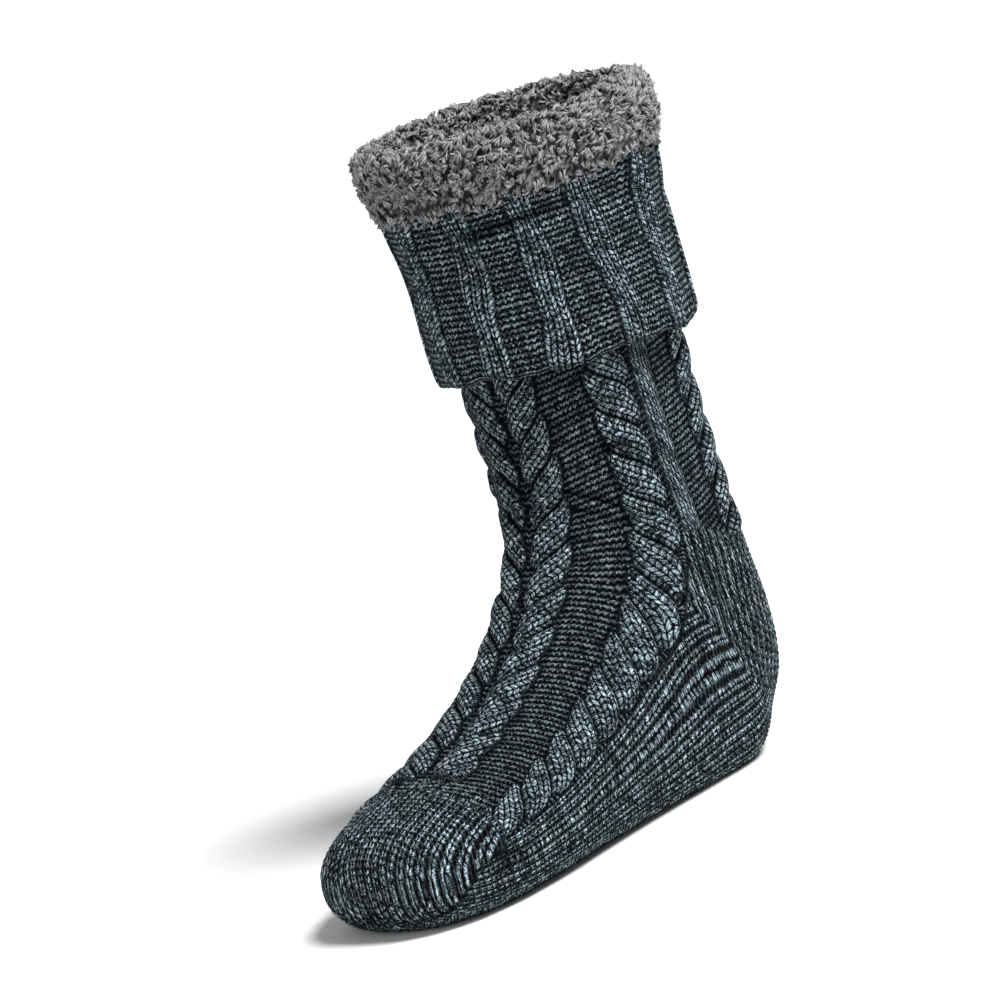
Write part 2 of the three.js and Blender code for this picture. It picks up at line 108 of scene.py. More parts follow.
# Shares of the tables times the last's own lengths: instep's and sole's points, half width and squareness.
def sectionKnots():
    length, height = sock["footLength"], sock["ankleHeight"]
    top, bottom, form = [], [], []
    for topAt, topUp, soleAt, soleUp, wide, waist, square in footSections:
        top.append((topAt * length, 0, topUp * height))
        bottom.append((soleAt * length, 0, soleUp * height))
        form.append((wide * sock["ballWidth"] / 2, waist, square))
    for shinAt, shinUp, calfAt, heelUp, calfUp, wide in legSections:
        depth, shaft = sock["legDepth"], sock["shaftLength"]
        top.append((shinAt * depth, 0, height + shinUp * shaft))
        bottom.append((calfAt * depth, 0, heelUp * height + calfUp * shaft))
        form.append((wide * sock["legWidth"] / 2, 0.5, 2.15))
    return np.array(top), np.array(bottom), np.array(form)


topKnots, bottomKnots, formKnots = sectionKnots()


# Centripetal Catmull-Rom curve through the knots; the place runs from 0 to the last knot's number.
def curveAt(knots, place):
    padded = np.vstack([2 * knots[0] - knots[1], knots, 2 * knots[-1] - knots[-2]])
    place = np.clip(place, 0, len(knots) - 1)
    whole = np.minimum(place.astype(int), len(knots) - 2)
    share = (place - whole)[..., None]
    p0, p1, p2, p3 = (padded[whole + step] for step in range(4))
    d0 = np.sqrt(np.linalg.norm(p1 - p0, axis=-1, keepdims=True))
    d1 = np.sqrt(np.linalg.norm(p2 - p1, axis=-1, keepdims=True))
    d2 = np.sqrt(np.linalg.norm(p3 - p2, axis=-1, keepdims=True))
    # Where two knots are the same, their distance is taken as 1 or as the middle one.
    d1 = np.where(d1 < 1e-4, 1.0, d1)
    d0 = np.where(d0 < 1e-4, d1, d0)
    d2 = np.where(d2 < 1e-4, d1, d2)
    t1 = ((p1 - p0) / d0 - (p2 - p0) / (d0 + d1) + (p2 - p1) / d1) * d1
    t2 = ((p2 - p1) / d1 - (p3 - p1) / (d1 + d2) + (p3 - p2) / d2) * d1
    c2 = -3 * p1 + 3 * p2 - 2 * t1 - t2
    c3 = 2 * p1 - 2 * p2 + t1 + t2
    return p1 + share * (t1 + share * (c2 + share * c3))


# Wave that is 0 and level at 0 and 1 and level at 1.
def smooth(share):
    share = np.clip(share, 0, 1)
    return share * share * (3 - 2 * share)


# Level under heel and forefoot, lifted in a soft wave between.
def soleHeight(along):
    share = (along / sock["footLength"] - sock["archStart"]) / (sock["archEnd"] - sock["archStart"])
    return sock["soleFloor"] + sock["archLift"] * np.sin(math.pi * np.clip(share, 0, 1)) ** 2


# Each half of a section is a superellipse about its widest line, pressed flat on the sole's underside.
def formPoint(place, angle):
    top, bottom, form = (curveAt(knots, place) for knots in (topKnots, bottomKnots, formKnots))
    forward, sideways = np.cos(angle), np.sin(angle)
    power = 2 / np.where(forward >= 0, sock["upperSquare"], form[..., 2])
    reach = np.abs(forward) ** power
    waist = form[..., 1]
    along = np.where(forward >= 0, waist + (1 - waist) * reach, waist - waist * reach)
    point = bottom + (top - bottom) * along[..., None]
    point[..., 2] += sock["soleFloor"]
    point[..., 2] = np.maximum(point[..., 2], soleHeight(point[..., 0]))
    point[..., 1] = np.sign(sideways) * np.abs(sideways) ** power * form[..., 0]
    return point


# Outward direction, square to two short steps along the form.
def formNormal(place, angle, step=0.04):
    before = np.maximum(place - step, 0.02)
    after = np.minimum(place + step, lastPlace)
    alongStep = formPoint(after, angle) - formPoint(before, angle)
    roundStep = formPoint(place, angle + step) - formPoint(place, angle - step)
    normal = np.cross(roundStep, alongStep)
    return normal / np.maximum(np.linalg.norm(normal, axis=-1, keepdims=True), 1e-9)


# The form's point plus its outward direction times the offset.
def offsetPoint(place, angle, offset):
    place, angle, offset = np.broadcast_arrays(place, angle, offset)
    return formPoint(place, angle) + formNormal(place, angle) * offset[..., None]


finePlaces = np.linspace(0, lastPlace, 4401)
legPlaces = finePlaces[finePlaces >= firstLeg - 1]
legHeights = curveAt(topKnots, legPlaces)[:, 2]


# Place of the leg's section whose front lies at a height above the sole.
def placeAtHeight(height):
    return np.interp(height, legHeights, legPlaces)


# Length along a line of constant angle from the toe tip, for every fine place.
def runAlong(angle):
    line = formPoint(finePlaces, np.full_like(finePlaces, angle))
    steps = np.linalg.norm(np.diff(line, axis=0), axis=1)
    return np.concatenate([[0], np.cumsum(steps)])


runStep = 5.0
runTable = np.stack([runAlong(math.radians(turn)) for turn in np.arange(0, 181, runStep)])
topRun = runTable[0]


# Length from the toe tip along the line of an angle (degrees from the front centre), between its
# neighbours in the table.
def runAt(half, place):
    column = np.clip(half / runStep, 0, len(runTable) - 1.001)
    row = np.clip(place / lastPlace * (len(finePlaces) - 1), 0, len(finePlaces) - 1.001)
    left, low = column.astype(int), row.astype(int)
    sideways, upward = column - left, row - low
    first = runTable[left, low] * (1 - upward) + runTable[left, low + 1] * upward
    second = runTable[left + 1, low] * (1 - upward) + runTable[left + 1, low + 1] * upward
    return first * (1 - sideways) + second * sideways


# Length along a column's middle line; lines of equal length cross the column squarely.
def squareRun(middle, place, half):
    line = formPoint(finePlaces, np.full_like(finePlaces, math.radians(middle)))
    beside = formPoint(finePlaces, np.full_like(finePlaces, math.radians(middle + 1)))
    ahead = np.gradient(line, axis=0)
    ahead /= np.maximum(np.linalg.norm(ahead, axis=1, keepdims=True), 1e-9)
    shear = np.sum((beside - line) * ahead, axis=1)
    along = np.interp(place, finePlaces, runAlong(math.radians(middle)))
    return along + np.interp(place, finePlaces, shear) * (half - middle)


cadLow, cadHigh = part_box("sock_body")
shift = np.array([cadHigh.x / mm - sock["footLength"], (cadLow.y + cadHigh.y) / 2 / mm, 0.0])


# Mesh from points in millimetres and faces that all have the same number of corners.
def makePiece(name, points, faces, material, fields=None, normals=None):
    mesh = bpy.data.meshes.new(name)
    mesh.vertices.add(len(points))
    mesh.vertices.foreach_set("co", ((points + shift) * mm).astype(np.float32).ravel())
    mesh.loops.add(faces.size)
    mesh.loops.foreach_set("vertex_index", faces.astype(np.int32).ravel())
    mesh.polygons.add(len(faces))
    mesh.polygons.foreach_set("loop_start", np.arange(0, faces.size, faces.shape[1], dtype=np.int32))
    mesh.polygons.foreach_set("use_smooth", np.ones(len(faces), bool))
    mesh.update(calc_edges=True)
    for field, values in (fields or {}).items():
        kind, part = ("FLOAT_VECTOR", "vector") if values.ndim == 2 else ("FLOAT", "value")
        layer = mesh.attributes.new(field, kind, "POINT")
        layer.data.foreach_set(part, values.astype(np.float32).ravel())
    if normals is not None:
        mesh.normals_split_custom_set_from_vertices(normals.astype(np.float32))
    mesh.materials.append(material)
    piece = bpy.data.objects.new(name, mesh)
    bpy.context.scene.collection.objects.link(piece)
    return piece


# Faces between neighbouring rows of a grid whose columns close into a ring.
def gridFaces(rows, columns):
    row, column = np.meshgrid(np.arange(rows - 1), np.arange(columns), indexing="ij")
    beside = (column + 1) % columns
    a, b = row * columns + column, row * columns + beside
    return np.stack([a, b, b + columns, a + columns], axis=-1).reshape(-1, 4)


# Each four-cornered face as two triangles.
def halved(faces):
    return np.vstack([faces[:, [0, 1, 2]], faces[:, [0, 2, 3]]])


# A fan of triangles from one point to a ring of points, in the ring's order or against it.
def fan(tip, ring, against=False):
    beside = np.roll(ring, -1)
    corners = [beside, ring] if against else [ring, beside]
    return np.stack([np.full(len(ring), tip), *corners], axis=-1)


# Triangles of a tube of rings whose two ends close to the points that follow the rings.
def closedTube(rows, columns):
    ring, tip = np.arange(columns), rows * columns
    ends = [fan(tip, ring), fan(tip + 1, ring + tip - columns, against=True)]
    return np.vstack([halved(gridFaces(rows, columns)[:, ::-1]), *ends])


# Normals of a grid of points (rows, columns, 3) whose columns close into a ring.
def gridNormals(points):
    down = np.gradient(points, axis=0)
    across = np.roll(points, -1, axis=1) - np.roll(points, 1, axis=1)
    normal = np.cross(across, down)
    return normal / np.maximum(np.linalg.norm(normal, axis=-1, keepdims=True), 1e-12)


# A socket of a node tree whose usual operators add Math nodes.
class Field:
    def __init__(self, tree, socket):
        self.tree = tree
        self.socket = socket

    # Any node by its type, its settings and its socket values: i0, i1 and so on by number, others by name.
    def node(self, kind, settings=None, out=0, **values):
        made = self.tree.nodes.new(kind)
        for key, value in (settings or {}).items():
            setattr(made, key, value)
        for key, value in values.items():
            target = made.inputs[int(key[1:])] if key[0] == "i" and key[1:].isdigit() else made.inputs[key]
            if isinstance(value, Field):
                self.tree.links.new(value.socket, target)
            else:
                target.default_value = value
        return Field(self.tree, made.outputs[out])

    # A Math node on this socket and, if it takes one, another value.
    def math(self, operation, other=None, clamp=False):
        values = {"i0": self} if other is None else {"i0": self, "i1": other}
        return self.node("ShaderNodeMath", {"operation": operation, "use_clamp": clamp}, **values)

    # The same with the other value first.
    def reflected(self, operation, other):
        return self.node("ShaderNodeMath", {"operation": operation}, i0=other, i1=self)

    def __add__(self, other):
        return self.math("ADD", other)

    def __radd__(self, other):
        return self.reflected("ADD", other)

    def __sub__(self, other):
        return self.math("SUBTRACT", other)

    def __rsub__(self, other):
        return self.reflected("SUBTRACT", other)

    def __mul__(self, other):
        return self.math("MULTIPLY", other)

    def __rmul__(self, other):
        return self.reflected("MULTIPLY", other)

    def __truediv__(self, other):
        return self.math("DIVIDE", other)

    def __rtruediv__(self, other):
        return self.reflected("DIVIDE", other)

    def fract(self):
        return self.math("FRACT")

    def floor(self):
        return self.math("FLOOR")

    def abs(self):
        return self.math("ABSOLUTE")

    # Square root, 0 where the number is below 0.
    def root(self):
        return self.math("MAXIMUM", 0.0).math("SQRT")

    # The number kept between 0 and 1.
    def clamped(self):
        return self.math("MULTIPLY", 1.0, clamp=True)

    # Smooth step from 0 to 1 between two values.
    def step(self, low, high):
        settings = {"interpolation_type": "SMOOTHSTEP"}
        return self.node("ShaderNodeMapRange", settings, i0=self, i1=low, i2=high, i3=0.0, i4=1.0)

    # Two numbers blended by this one.
    def blend(self, first, second):
        return self.node("ShaderNodeMix", {"data_type": "FLOAT"}, i0=self, i2=first, i3=second)

    # Two colours blended by this number.
    def colours(self, first, second):
        return self.node("ShaderNodeMix", {"data_type": "RGBA"}, out=2, i0=self, i6=first, i7=second)


# Linear colour of an sRGB one given in 0 to 255.
def colour(red, green, blue):
    share = np.array([red, green, blue]) / 255
    linear = np.where(share <= 0.04045, share / 12.92, ((share + 0.055) / 1.055) ** 2.4)
    return (*(float(value) for value in linear), 1.0)


# An empty material, with a field to build its nodes from.
def newMaterial(name):
    material = bpy.data.materials.new(name)
    material.use_nodes = True
    tree = material.node_tree
    tree.nodes.clear()
    return material, Field(tree, None)


# Ends a material with a principled shader; what varies comes in linked, the rest as constants.
def closeMaterial(field, base, roughness, normal=None, **constants):
    tree = field.tree
    shader = tree.nodes.new("ShaderNodeBsdfPrincipled")
    for key, value in constants.items():
        shader.inputs[key.replace("_", " ")].default_value = value
    for key, value in (("Base Color", base), ("Roughness", roughness)):
        if isinstance(value, Field):
            tree.links.new(value.socket, shader.inputs[key])
        else:
            shader.inputs[key].default_value = value
    if normal is not None:
        tree.links.new(normal.socket, shader.inputs["Normal"])
    output = tree.nodes.new("ShaderNodeOutputMaterial")
    tree.links.new(shader.outputs[0], output.inputs[0])


# A value kept at the mesh's points: output 1 is its vector, output 2 its number.
def attribute(field, name, out):
    return field.node("ShaderNodeAttribute", {"attribute_name": name}, out=out)


# Object coordinates, in metres.
def objectPlace(field):
    return field.node("ShaderNodeTexCoord", out=3)


yarn = dict(
    # near-black painted shade for the gaps between the yarns, in place of their shadow
    paintedGapShade=colour(2, 3, 3),
    dark=colour(13, 16, 18),
    mid=colour(71, 86, 94),
    light=colour(200, 222, 232),
    stitchDepth=1.5 * mm,
    plyDepth=0.16 * mm,
    fibreDepth=0.22 * mm,
    slant=0.55,  # how far a knit leg climbs from its wale's middle to its side, in courses
    wave=0.09,  # how far a purl bump swings, in courses
    fall=0.26,  # how far a purl bump slants across its wale, in courses
    bumpHalf=0.38,  # half the height of a purl bump, in courses
)


# Knit: each wale has two legs that climb to its sides, each leg a round bow. Purl: each course is a row of
# wavy, slanting bumps, round across. Fibres are noise drawn out along the yarn. The attribute "stitch"
# holds wale, course and kind (0 knit, 1 purl); a second attribute holds how much painted shade each spot
# gets, and the low parts of each stitch are painted near black as shade between the yarns.
def knitMaterial(name):
    material, field = newMaterial(name)
    stitch = attribute(field, "stitch", 1)
    wale = field.node("ShaderNodeSeparateXYZ", out=0, i0=stitch)
    course = Field(field.tree, wale.socket.node.outputs[1])
    kind = Field(field.tree, wale.socket.node.outputs[2])
    paintedShade = attribute(field, "paintedShade", 2)
    place = objectPlace(field)
    wobble = field.node("ShaderNodeTexNoise", i0=place, Scale=230.0, Detail=2.0) - 0.5
    waleMoved = wale + wobble * 0.3
    courseMoved = course + wobble * 0.45
    across = ((waleMoved.fract() - 0.5).abs()) * 2.0
    phase = courseMoved - across * yarn["slant"]
    alongLeg = phase.fract() * 2.0 - 1.0
    acrossLeg = across * 2.0 - 1.0
    leg = (1.0 - acrossLeg * acrossLeg).root() * (0.15 + 0.85 * (1.0 - alongLeg * alongLeg).root())
    swing = (waleMoved * (2 * math.pi)).math("COSINE")
    saw = waleMoved.fract() - 0.5
    purlPhase = courseMoved + swing * yarn["wave"] - saw * yarn["fall"]
    level = (purlPhase.fract() - 0.5) / yarn["bumpHalf"]
    ridge = (1.0 - level * level).root() * (0.86 + 0.14 * swing)
    height = kind.blend(leg, ridge)
    # Fibres run along the yarn: streaks that are long along a leg and fine across it.
    legSide = (waleMoved.fract() - 0.5).math("SIGN")
    column = waleMoved.floor()
    cell = field.node("ShaderNodeCombineXYZ", i0=column * 2.0 + legSide, i1=phase.floor(), i2=0.0)
    fleck = field.node("ShaderNodeTexWhiteNoise", {"noise_dimensions": "3D"}, i0=cell)
    legStreak = field.node("ShaderNodeCombineXYZ", i0=phase * 5.0, i1=across * 1.5, i2=column * 3.7)
    purlStreak = field.node("ShaderNodeCombineXYZ", i0=purlPhase * 6.0, i1=waleMoved * 1.8, i2=fleck * 3.0)
    vectors = {"data_type": "VECTOR"}
    streakPlace = field.node("ShaderNodeMix", vectors, out=1, i0=kind, i4=legStreak, i5=purlStreak)
    streak = field.node("ShaderNodeTexNoise", i0=streakPlace, Scale=1.0, Detail=2.0, Roughness=0.7)
    ply = ((phase * 2.0 + across * 3.0) * (2 * math.pi)).math("SINE") * 0.5 + 0.5
    fibre = field.node("ShaderNodeTexNoise", i0=place, Scale=1300.0, Detail=2.0, Roughness=0.7)
    patch = field.node("ShaderNodeTexNoise", i0=place, Scale=330.0, Detail=2.0, Roughness=0.7)
    tone = (streak * 2.4 + fibre * 2.0 + patch * 0.8 + fleck * 0.35 - 2.3).clamped()
    pale = tone.step(0.0, 0.45).colours(yarn["dark"], yarn["mid"])
    base = tone.step(0.4, 0.95).colours(pale, yarn["light"])
    # Painted shade: low parts of each stitch, and spots with painted shade, blend to the near-black gap
    # colour
    shade = height.step(0.36, 0.92) * (1.0 - paintedShade)
    base = shade.clamped().colours(yarn["paintedGapShade"], base)
    lift = height * yarn["stitchDepth"] + (ply * yarn["plyDepth"] + fibre * yarn["fibreDepth"]) * height
    bump = field.node("ShaderNodeBump", Strength=1.0, Distance=1.0, Height=lift)
    closeMaterial(field, base, 0.9, bump, Specular_IOR_Level=0.05)
    return material


knitLook = knitMaterial("heather_knit")
cuffLook = knitMaterial("heather_cuff_knit")


waleTurn = 360 / 128  # degrees of one wale
body = dict(
    columns=448,  # of the mesh, round the sock
    rowStep=0.9,  # of the mesh, along it
    topHeight=230.0,  # where the knit ends, under the cuff
    course=3.0,
    ribPitch=2,  # wales from rib to rib
    ribHeight=1.5,
    purlHeight=0.45,
    purlSlant=0.05,  # courses for each degree round
    cableHeight=4.3,
    strandRidge=0.3,
    strandAcross=0.6525,  # a strand's length for each degree across its rope
    strandAlong=0.66,  # and for each millimetre along it
    columnHeight=1.9,
    overFloor=0.35,  # least height of the knit on the sole
)
heel = dict(
    middle=56.0,  # of the leg, from the heel's back
    halfDepth=52.0,
    halfWidth=50.0,
    sideHeight=52.0,  # where the ribs turn their corner
    footFrom=50.0,  # from here on the ribs grow parallel to the sole's middle
    footOver=75.0,
    legAbove=135.0,  # over this height the ribs are the leg's
)
toeCap = dict(
    edge=60.0,  # length from the toe tip
    fade=5.0,
    bandEnd=72.0,  # of the purl band above the cap
    ribPitch=4.5,
    ribShare=0.75,
    seamTurn=84.0,  # degrees from the front centre
    seamSwing=97.0,  # further, where the seam runs under the toe
    swingFrom=48.0,
    swingOver=42.0,
    seamDepth=0.9,
    pitTurn=92.0,
    pitDepth=2.6,
    bulgeTurn=72.0,
    bulgeHeight=1.6,
)

# Ropes round one half, in degrees from the front centre: start, end, which way they wind, and the share
# of a turn by which their lumps are shifted.
ropes = [
    dict(start=1.5, end=25.0, lean=-1.0, shift=0.0),
    dict(start=50.0, end=75.5, lean=1.0, shift=0.35),
    dict(start=105.0, end=130.5, lean=-1.0, shift=0.1),
    dict(start=155.0, end=178.5, lean=1.0, shift=0.6),
]
narrowColumn = dict(start=78.5, end=90.0)
# Painted shadow lies along these edges.
paintedShadowEdges = [25.5, 49.5, 76.8]  # where the purl ground meets a raised column
panelMiddles = [0.1, 37, 97, 143]  # of the ground's panels
panelEnds = [13, 62, 118]

# Place where the leg's columns turn into ribs, for an angle from the front centre.
ribStart = dict(angle=[77, 90, 110, 130, 150, 180], place=[13.1, 13.6, 13.8, 14.2, 14.5, 14.6])


# Slanted lumps of a wound rope, one a turn, which lie over each other like scales: the share of a lump
# runs square to its slant, and its ends bend into the rope's edges.
def rope(across, turns, lean):
    phase = turns + lean * 0.4 * (across + 0.4 * across**3)
    share = np.mod(phase, 1)
    lobe = 1 - np.abs(2 * share**1.35 - 1) ** 2
    reach = np.abs(across) / (0.74 + 0.26 * lobe)
    crown = np.maximum(0, 1 - reach**2) ** 0.45
    return crown * (0.12 + 0.88 * lobe**0.55), share, np.floor(phase)


# Angle from the back's or the sole's centre line, whichever is less: round the leg's upright axis for
# the ribs above the corner, round the foot's level axis for those below it.
def heelTurn(form, half):
    side = np.abs(form[..., 1]) / heel["halfWidth"]
    back = np.degrees(np.arctan2(side, (heel["middle"] - form[..., 0]) / heel["halfDepth"]))
    low = (heel["sideHeight"] - form[..., 2]) / heel["sideHeight"]
    square = np.degrees(np.arctan2(side**1.5, np.sign(low) * np.abs(low) ** 1.5))
    forward = smooth((form[..., 0] - heel["footFrom"]) / heel["footOver"])
    sole = square * (1 - forward) + (180 - half) * forward
    return np.where(form[..., 2] > heel["legAbove"], 180 - half, np.minimum(back, sole))


# Distances counted in reaches make a bell: 1 in the middle, near 0 past two reaches.
def bell(*aways):
    return np.exp(-sum(away**2 for away in aways))


# Soft folds: place and angle of the middle, reach along and round, lean, depth in millimetres.
creases = [
    dict(place=12.55, angle=8, along=0.16, around=46, lean=0.004, depth=-1.5),
    dict(place=12.95, angle=20, along=0.16, around=40, lean=0.006, depth=1.0),
    dict(place=13.5, angle=30, along=0.16, around=44, lean=-0.008, depth=-1.3),
    dict(place=11.3, angle=40, along=0.3, around=26, lean=0.01, depth=-1.0),
    dict(place=14.1, angle=94, along=0.3, around=22, lean=0.016, depth=-0.9),
    dict(place=12.6, angle=108, along=0.4, around=26, lean=0.012, depth=-0.8),
    dict(place=15.6, angle=60, along=0.2, around=40, lean=-0.006, depth=-1.0),
    dict(place=16.4, angle=20, along=0.22, around=50, lean=0.008, depth=-0.9),
    dict(place=14.6, angle=320, along=0.2, around=44, lean=0.009, depth=-1.3),
    dict(place=12.9, angle=316, along=0.2, around=40, lean=-0.008, depth=-1.4),
    dict(place=15.2, angle=196, along=0.24, around=50, lean=0.006, depth=-1.2),
    dict(place=16.2, angle=236, along=0.22, around=36, lean=-0.008, depth=1.0),
    dict(place=9.2, angle=70, along=0.5, around=22, lean=0.02, depth=-0.9),
]


# Sum of soft troughs and ridges, each a bell along the sock and round it, and a slow wave over all.
def creaseHeight(place, turn):
    total = 0.35 * np.sin(np.radians(3 * turn + 40 * place)) * np.sin(1.9 * place + 1.0)
    for crease in creases:
        turnAway = np.mod(turn - crease["angle"] + 180, 360) - 180
        away = (place - crease["place"] - crease["lean"] * turnAway) / crease["along"]
        total = total + crease["depth"] * bell(away, turnAway / crease["around"])
    return total * smooth((place - 6) / 2)


# Ribs are cosines of the wale, beaded by their courses. On heel, sides and sole the wale follows
# heelTurn, so a rib runs down the leg, turns a corner and runs along the foot; on the toe cap it follows
# the width. Grooves are purl, painted dark as shade between the ribs. The cap's side seam is a bell beside
# its angle, which swings under the toe.
def ribField(half, form, run, course):
    swing = smooth((toeCap["swingFrom"] - run) / toeCap["swingOver"])
    seamTurn = toeCap["seamTurn"] + toeCap["seamSwing"] * swing
    inCap = (run < toeCap["edge"]) & (half < seamTurn)
    ribWale = (180 - heelTurn(form, half)) / waleTurn / body["ribPitch"]
    ribWale = np.where(inCap, form[..., 1] / toeCap["ribPitch"], ribWale)
    ribCourse = np.where(inCap, run / body["course"], course)
    ridge = 0.5 + 0.5 * np.cos(2 * math.pi * ribWale)
    bead = 0.82 + 0.18 * np.cos(2 * math.pi * (ribCourse - 0.25))
    height = np.where(inCap, toeCap["ribShare"], 1.0) * body["ribHeight"] * ridge**0.6 * bead
    kind = np.where(ridge < 0.25, 1.0, 0.0)
    # Painted shade: darker the lower a spot lies between two ribs
    paintedShade = np.clip(1.3 - ridge * 2.3, 0, 0.97)
    seam = bell((half - seamTurn) / (3 + 9 * swing)) * smooth((toeCap["edge"] + 6 - run) / 8)
    return height, (ribWale + 0.5, ribCourse, kind), paintedShade, seam


# A purl ground of cosine ridges, one a course, with raised columns over it: each rope is wound lumps, the
# narrow column half a round. Painted shade: the ground gets an even share, deeper beside each column and
# down the front middle; the ropes' lump ends and low parts and the narrow column's sides are painted darker
# too.
def legField(place, half, run, course):
    panelRuns = [squareRun(middle, place, half) for middle in panelMiddles]
    panelRun = np.select([half < end for end in panelEnds], panelRuns[:3], panelRuns[3])
    purlCourse = panelRun / body["course"] - body["purlSlant"] * half
    purl = body["purlHeight"] * (0.5 + 0.5 * np.cos(2 * math.pi * (purlCourse - 0.5)))
    height = purl.copy()
    wale = half / waleTurn
    kind = np.ones_like(wale)
    columnCourse = course.copy()
    # Even painted shade over the whole purl ground
    paintedShade = np.full(wale.shape, 0.55)
    for band in ropes:
        middle, reach = (band["start"] + band["end"]) / 2, (band["end"] - band["start"]) / 2
        across = (half - middle) / reach
        bandRun = squareRun(middle, place, half)
        lump, local, which = rope(across, bandRun / sock["cablePitch"] + band["shift"], band["lean"])
        inside = (np.abs(across) < 1) & (lump > 0)
        strandWale = local * 3
        lines = body["strandRidge"] * (0.5 - 0.5 * np.cos(2 * math.pi * strandWale))
        strandRun = across * reach * body["strandAcross"] - band["lean"] * bandRun * body["strandAlong"]
        height = np.where(inside, np.maximum(purl, body["cableHeight"] * lump + lines), height)
        wale = np.where(inside, 3 * which + strandWale, wale)
        kind = np.where(inside, 0, kind)
        columnCourse = np.where(inside, strandRun / body["course"], columnCourse)
        # Painted shade at each lump's ends and low parts
        edge = np.maximum(np.abs(2 * local - 1) ** 5 * 0.97, np.clip(1.3 - lump * 3.2, 0, 0.9))
        paintedShade = np.where(inside, np.maximum(edge, 0.14), paintedShade)
    middle = (narrowColumn["start"] + narrowColumn["end"]) / 2
    across = (half - middle) / (narrowColumn["end"] - narrowColumn["start"]) * 2
    inside = np.abs(across) < 1
    halfRound = body["columnHeight"] * np.sqrt(np.maximum(0, 1 - across**2))
    height = np.where(inside, np.maximum(purl, halfRound), height)
    wale = np.where(inside, (across + 1) * 1.5, wale)
    kind = np.where(inside, 0, kind)
    # Painted shade on the narrow column's sides
    paintedShade = np.where(inside, np.abs(across) ** 4 * 0.6, paintedShade)
    # Painted shadow beside each raised column
    for edge in paintedShadowEdges:
        paintedShade = np.maximum(paintedShade, 0.8 * bell((half - edge) / 1.3))
    # Painted shade down the front middle, between the two front ropes
    paintedShade = np.maximum(paintedShade, 0.75 * bell(half / 2.0))
    # Front columns end in a band of purl before the toe cap.
    band = smooth((toeCap["bandEnd"] - run) / 3) * (half < 47)
    height = height * (1 - band) + 0.8 * (0.5 + 0.5 * np.cos(2 * math.pi * course)) * band
    kind = np.where(band > 0.5, 1, kind)
    wale = np.where(band > 0.5, half / waleTurn, wale)
    # Even painted shade on the purl band
    paintedShade = np.where(band > 0.5, 0.3, paintedShade)
    return height, (wale, np.where(kind > 0.5, purlCourse, columnCourse), kind), paintedShade


# Height of the knit above the form, its stitch coordinates and how much painted shade each spot gets: the
# leg's field blended into the ribs' where the columns end, and then the cap's seam, pit and bulge and the
# creases, with painted shade in the seam, the pit and the creases' troughs.
def knitField(place, angle):
    turn = np.degrees(angle)
    half = np.where(turn > 180, 360 - turn, turn)
    run = np.interp(place, finePlaces, topRun)
    course = runAt(half, place) / body["course"]
    ribHeight, ribStitch, ribPaintedShade, seam = ribField(half, formPoint(place, angle), run, course)
    legHeight, legStitch, legPaintedShade = legField(place, half, run, course)
    fromCap = smooth((run - toeCap["edge"]) / toeCap["fade"])
    heelPlace = np.interp(half, ribStart["angle"], ribStart["place"])
    fromHeel = smooth((place - heelPlace) / 0.35)
    onLeg = np.where(half < ribStart["angle"][0], fromCap, fromHeel)
    stitch = np.stack([np.where(onLeg > 0.5, leg, rib) for leg, rib in zip(legStitch, ribStitch)], axis=-1)
    pit = bell((half - toeCap["pitTurn"]) / 8, (run - toeCap["edge"] + 3) / 6)
    bulge = bell((half - toeCap["bulgeTurn"]) / 14, (run - toeCap["edge"] + 7) / 8)
    crease = creaseHeight(place, turn)
    paintedShade = np.where(onLeg > 0.5, legPaintedShade, ribPaintedShade)
    # Painted shade in the toe cap's seam and pit and in the creases' troughs
    paintedShade = paintedShade + 0.5 * seam + 0.6 * pit + np.clip(-0.16 * crease, 0, 0.3)
    height = (onLeg * legHeight + (1 - onLeg) * ribHeight) * (0.35 + 0.65 * smooth(run / 16))
    height = height - toeCap["seamDepth"] * seam - toeCap["pitDepth"] * pit + toeCap["bulgeHeight"] * bulge
    return height + crease, stitch, np.clip(paintedShade, 0, 0.97)


# Places of the rows: an even step along the longest of the front, side and (less) sole lines.
def bodyPlaces():
    side = runTable[len(runTable) // 2]
    spread = np.maximum.reduce([np.diff(topRun), np.diff(side), 0.6 * np.diff(runTable[-1])])
    length = np.concatenate([[0], np.cumsum(spread)])
    end = np.interp(body["topHeight"], legHeights, legPlaces)
    total = np.interp(end, finePlaces, length)
    rows = int(total / body["rowStep"])
    return np.interp(np.linspace(total / rows * 0.4, total, rows), length, finePlaces)


# Mean of each spot and its neighbours two steps off, three times over.
def blurred(values):
    for _ in range(3):
        around = np.roll(values, 2, axis=1) + np.roll(values, -2, axis=1)
        along = np.vstack([values[2:], values[-2:]]) + np.vstack([values[:2], values[:-2]])
        values = (values + around + along) / 5
    return values


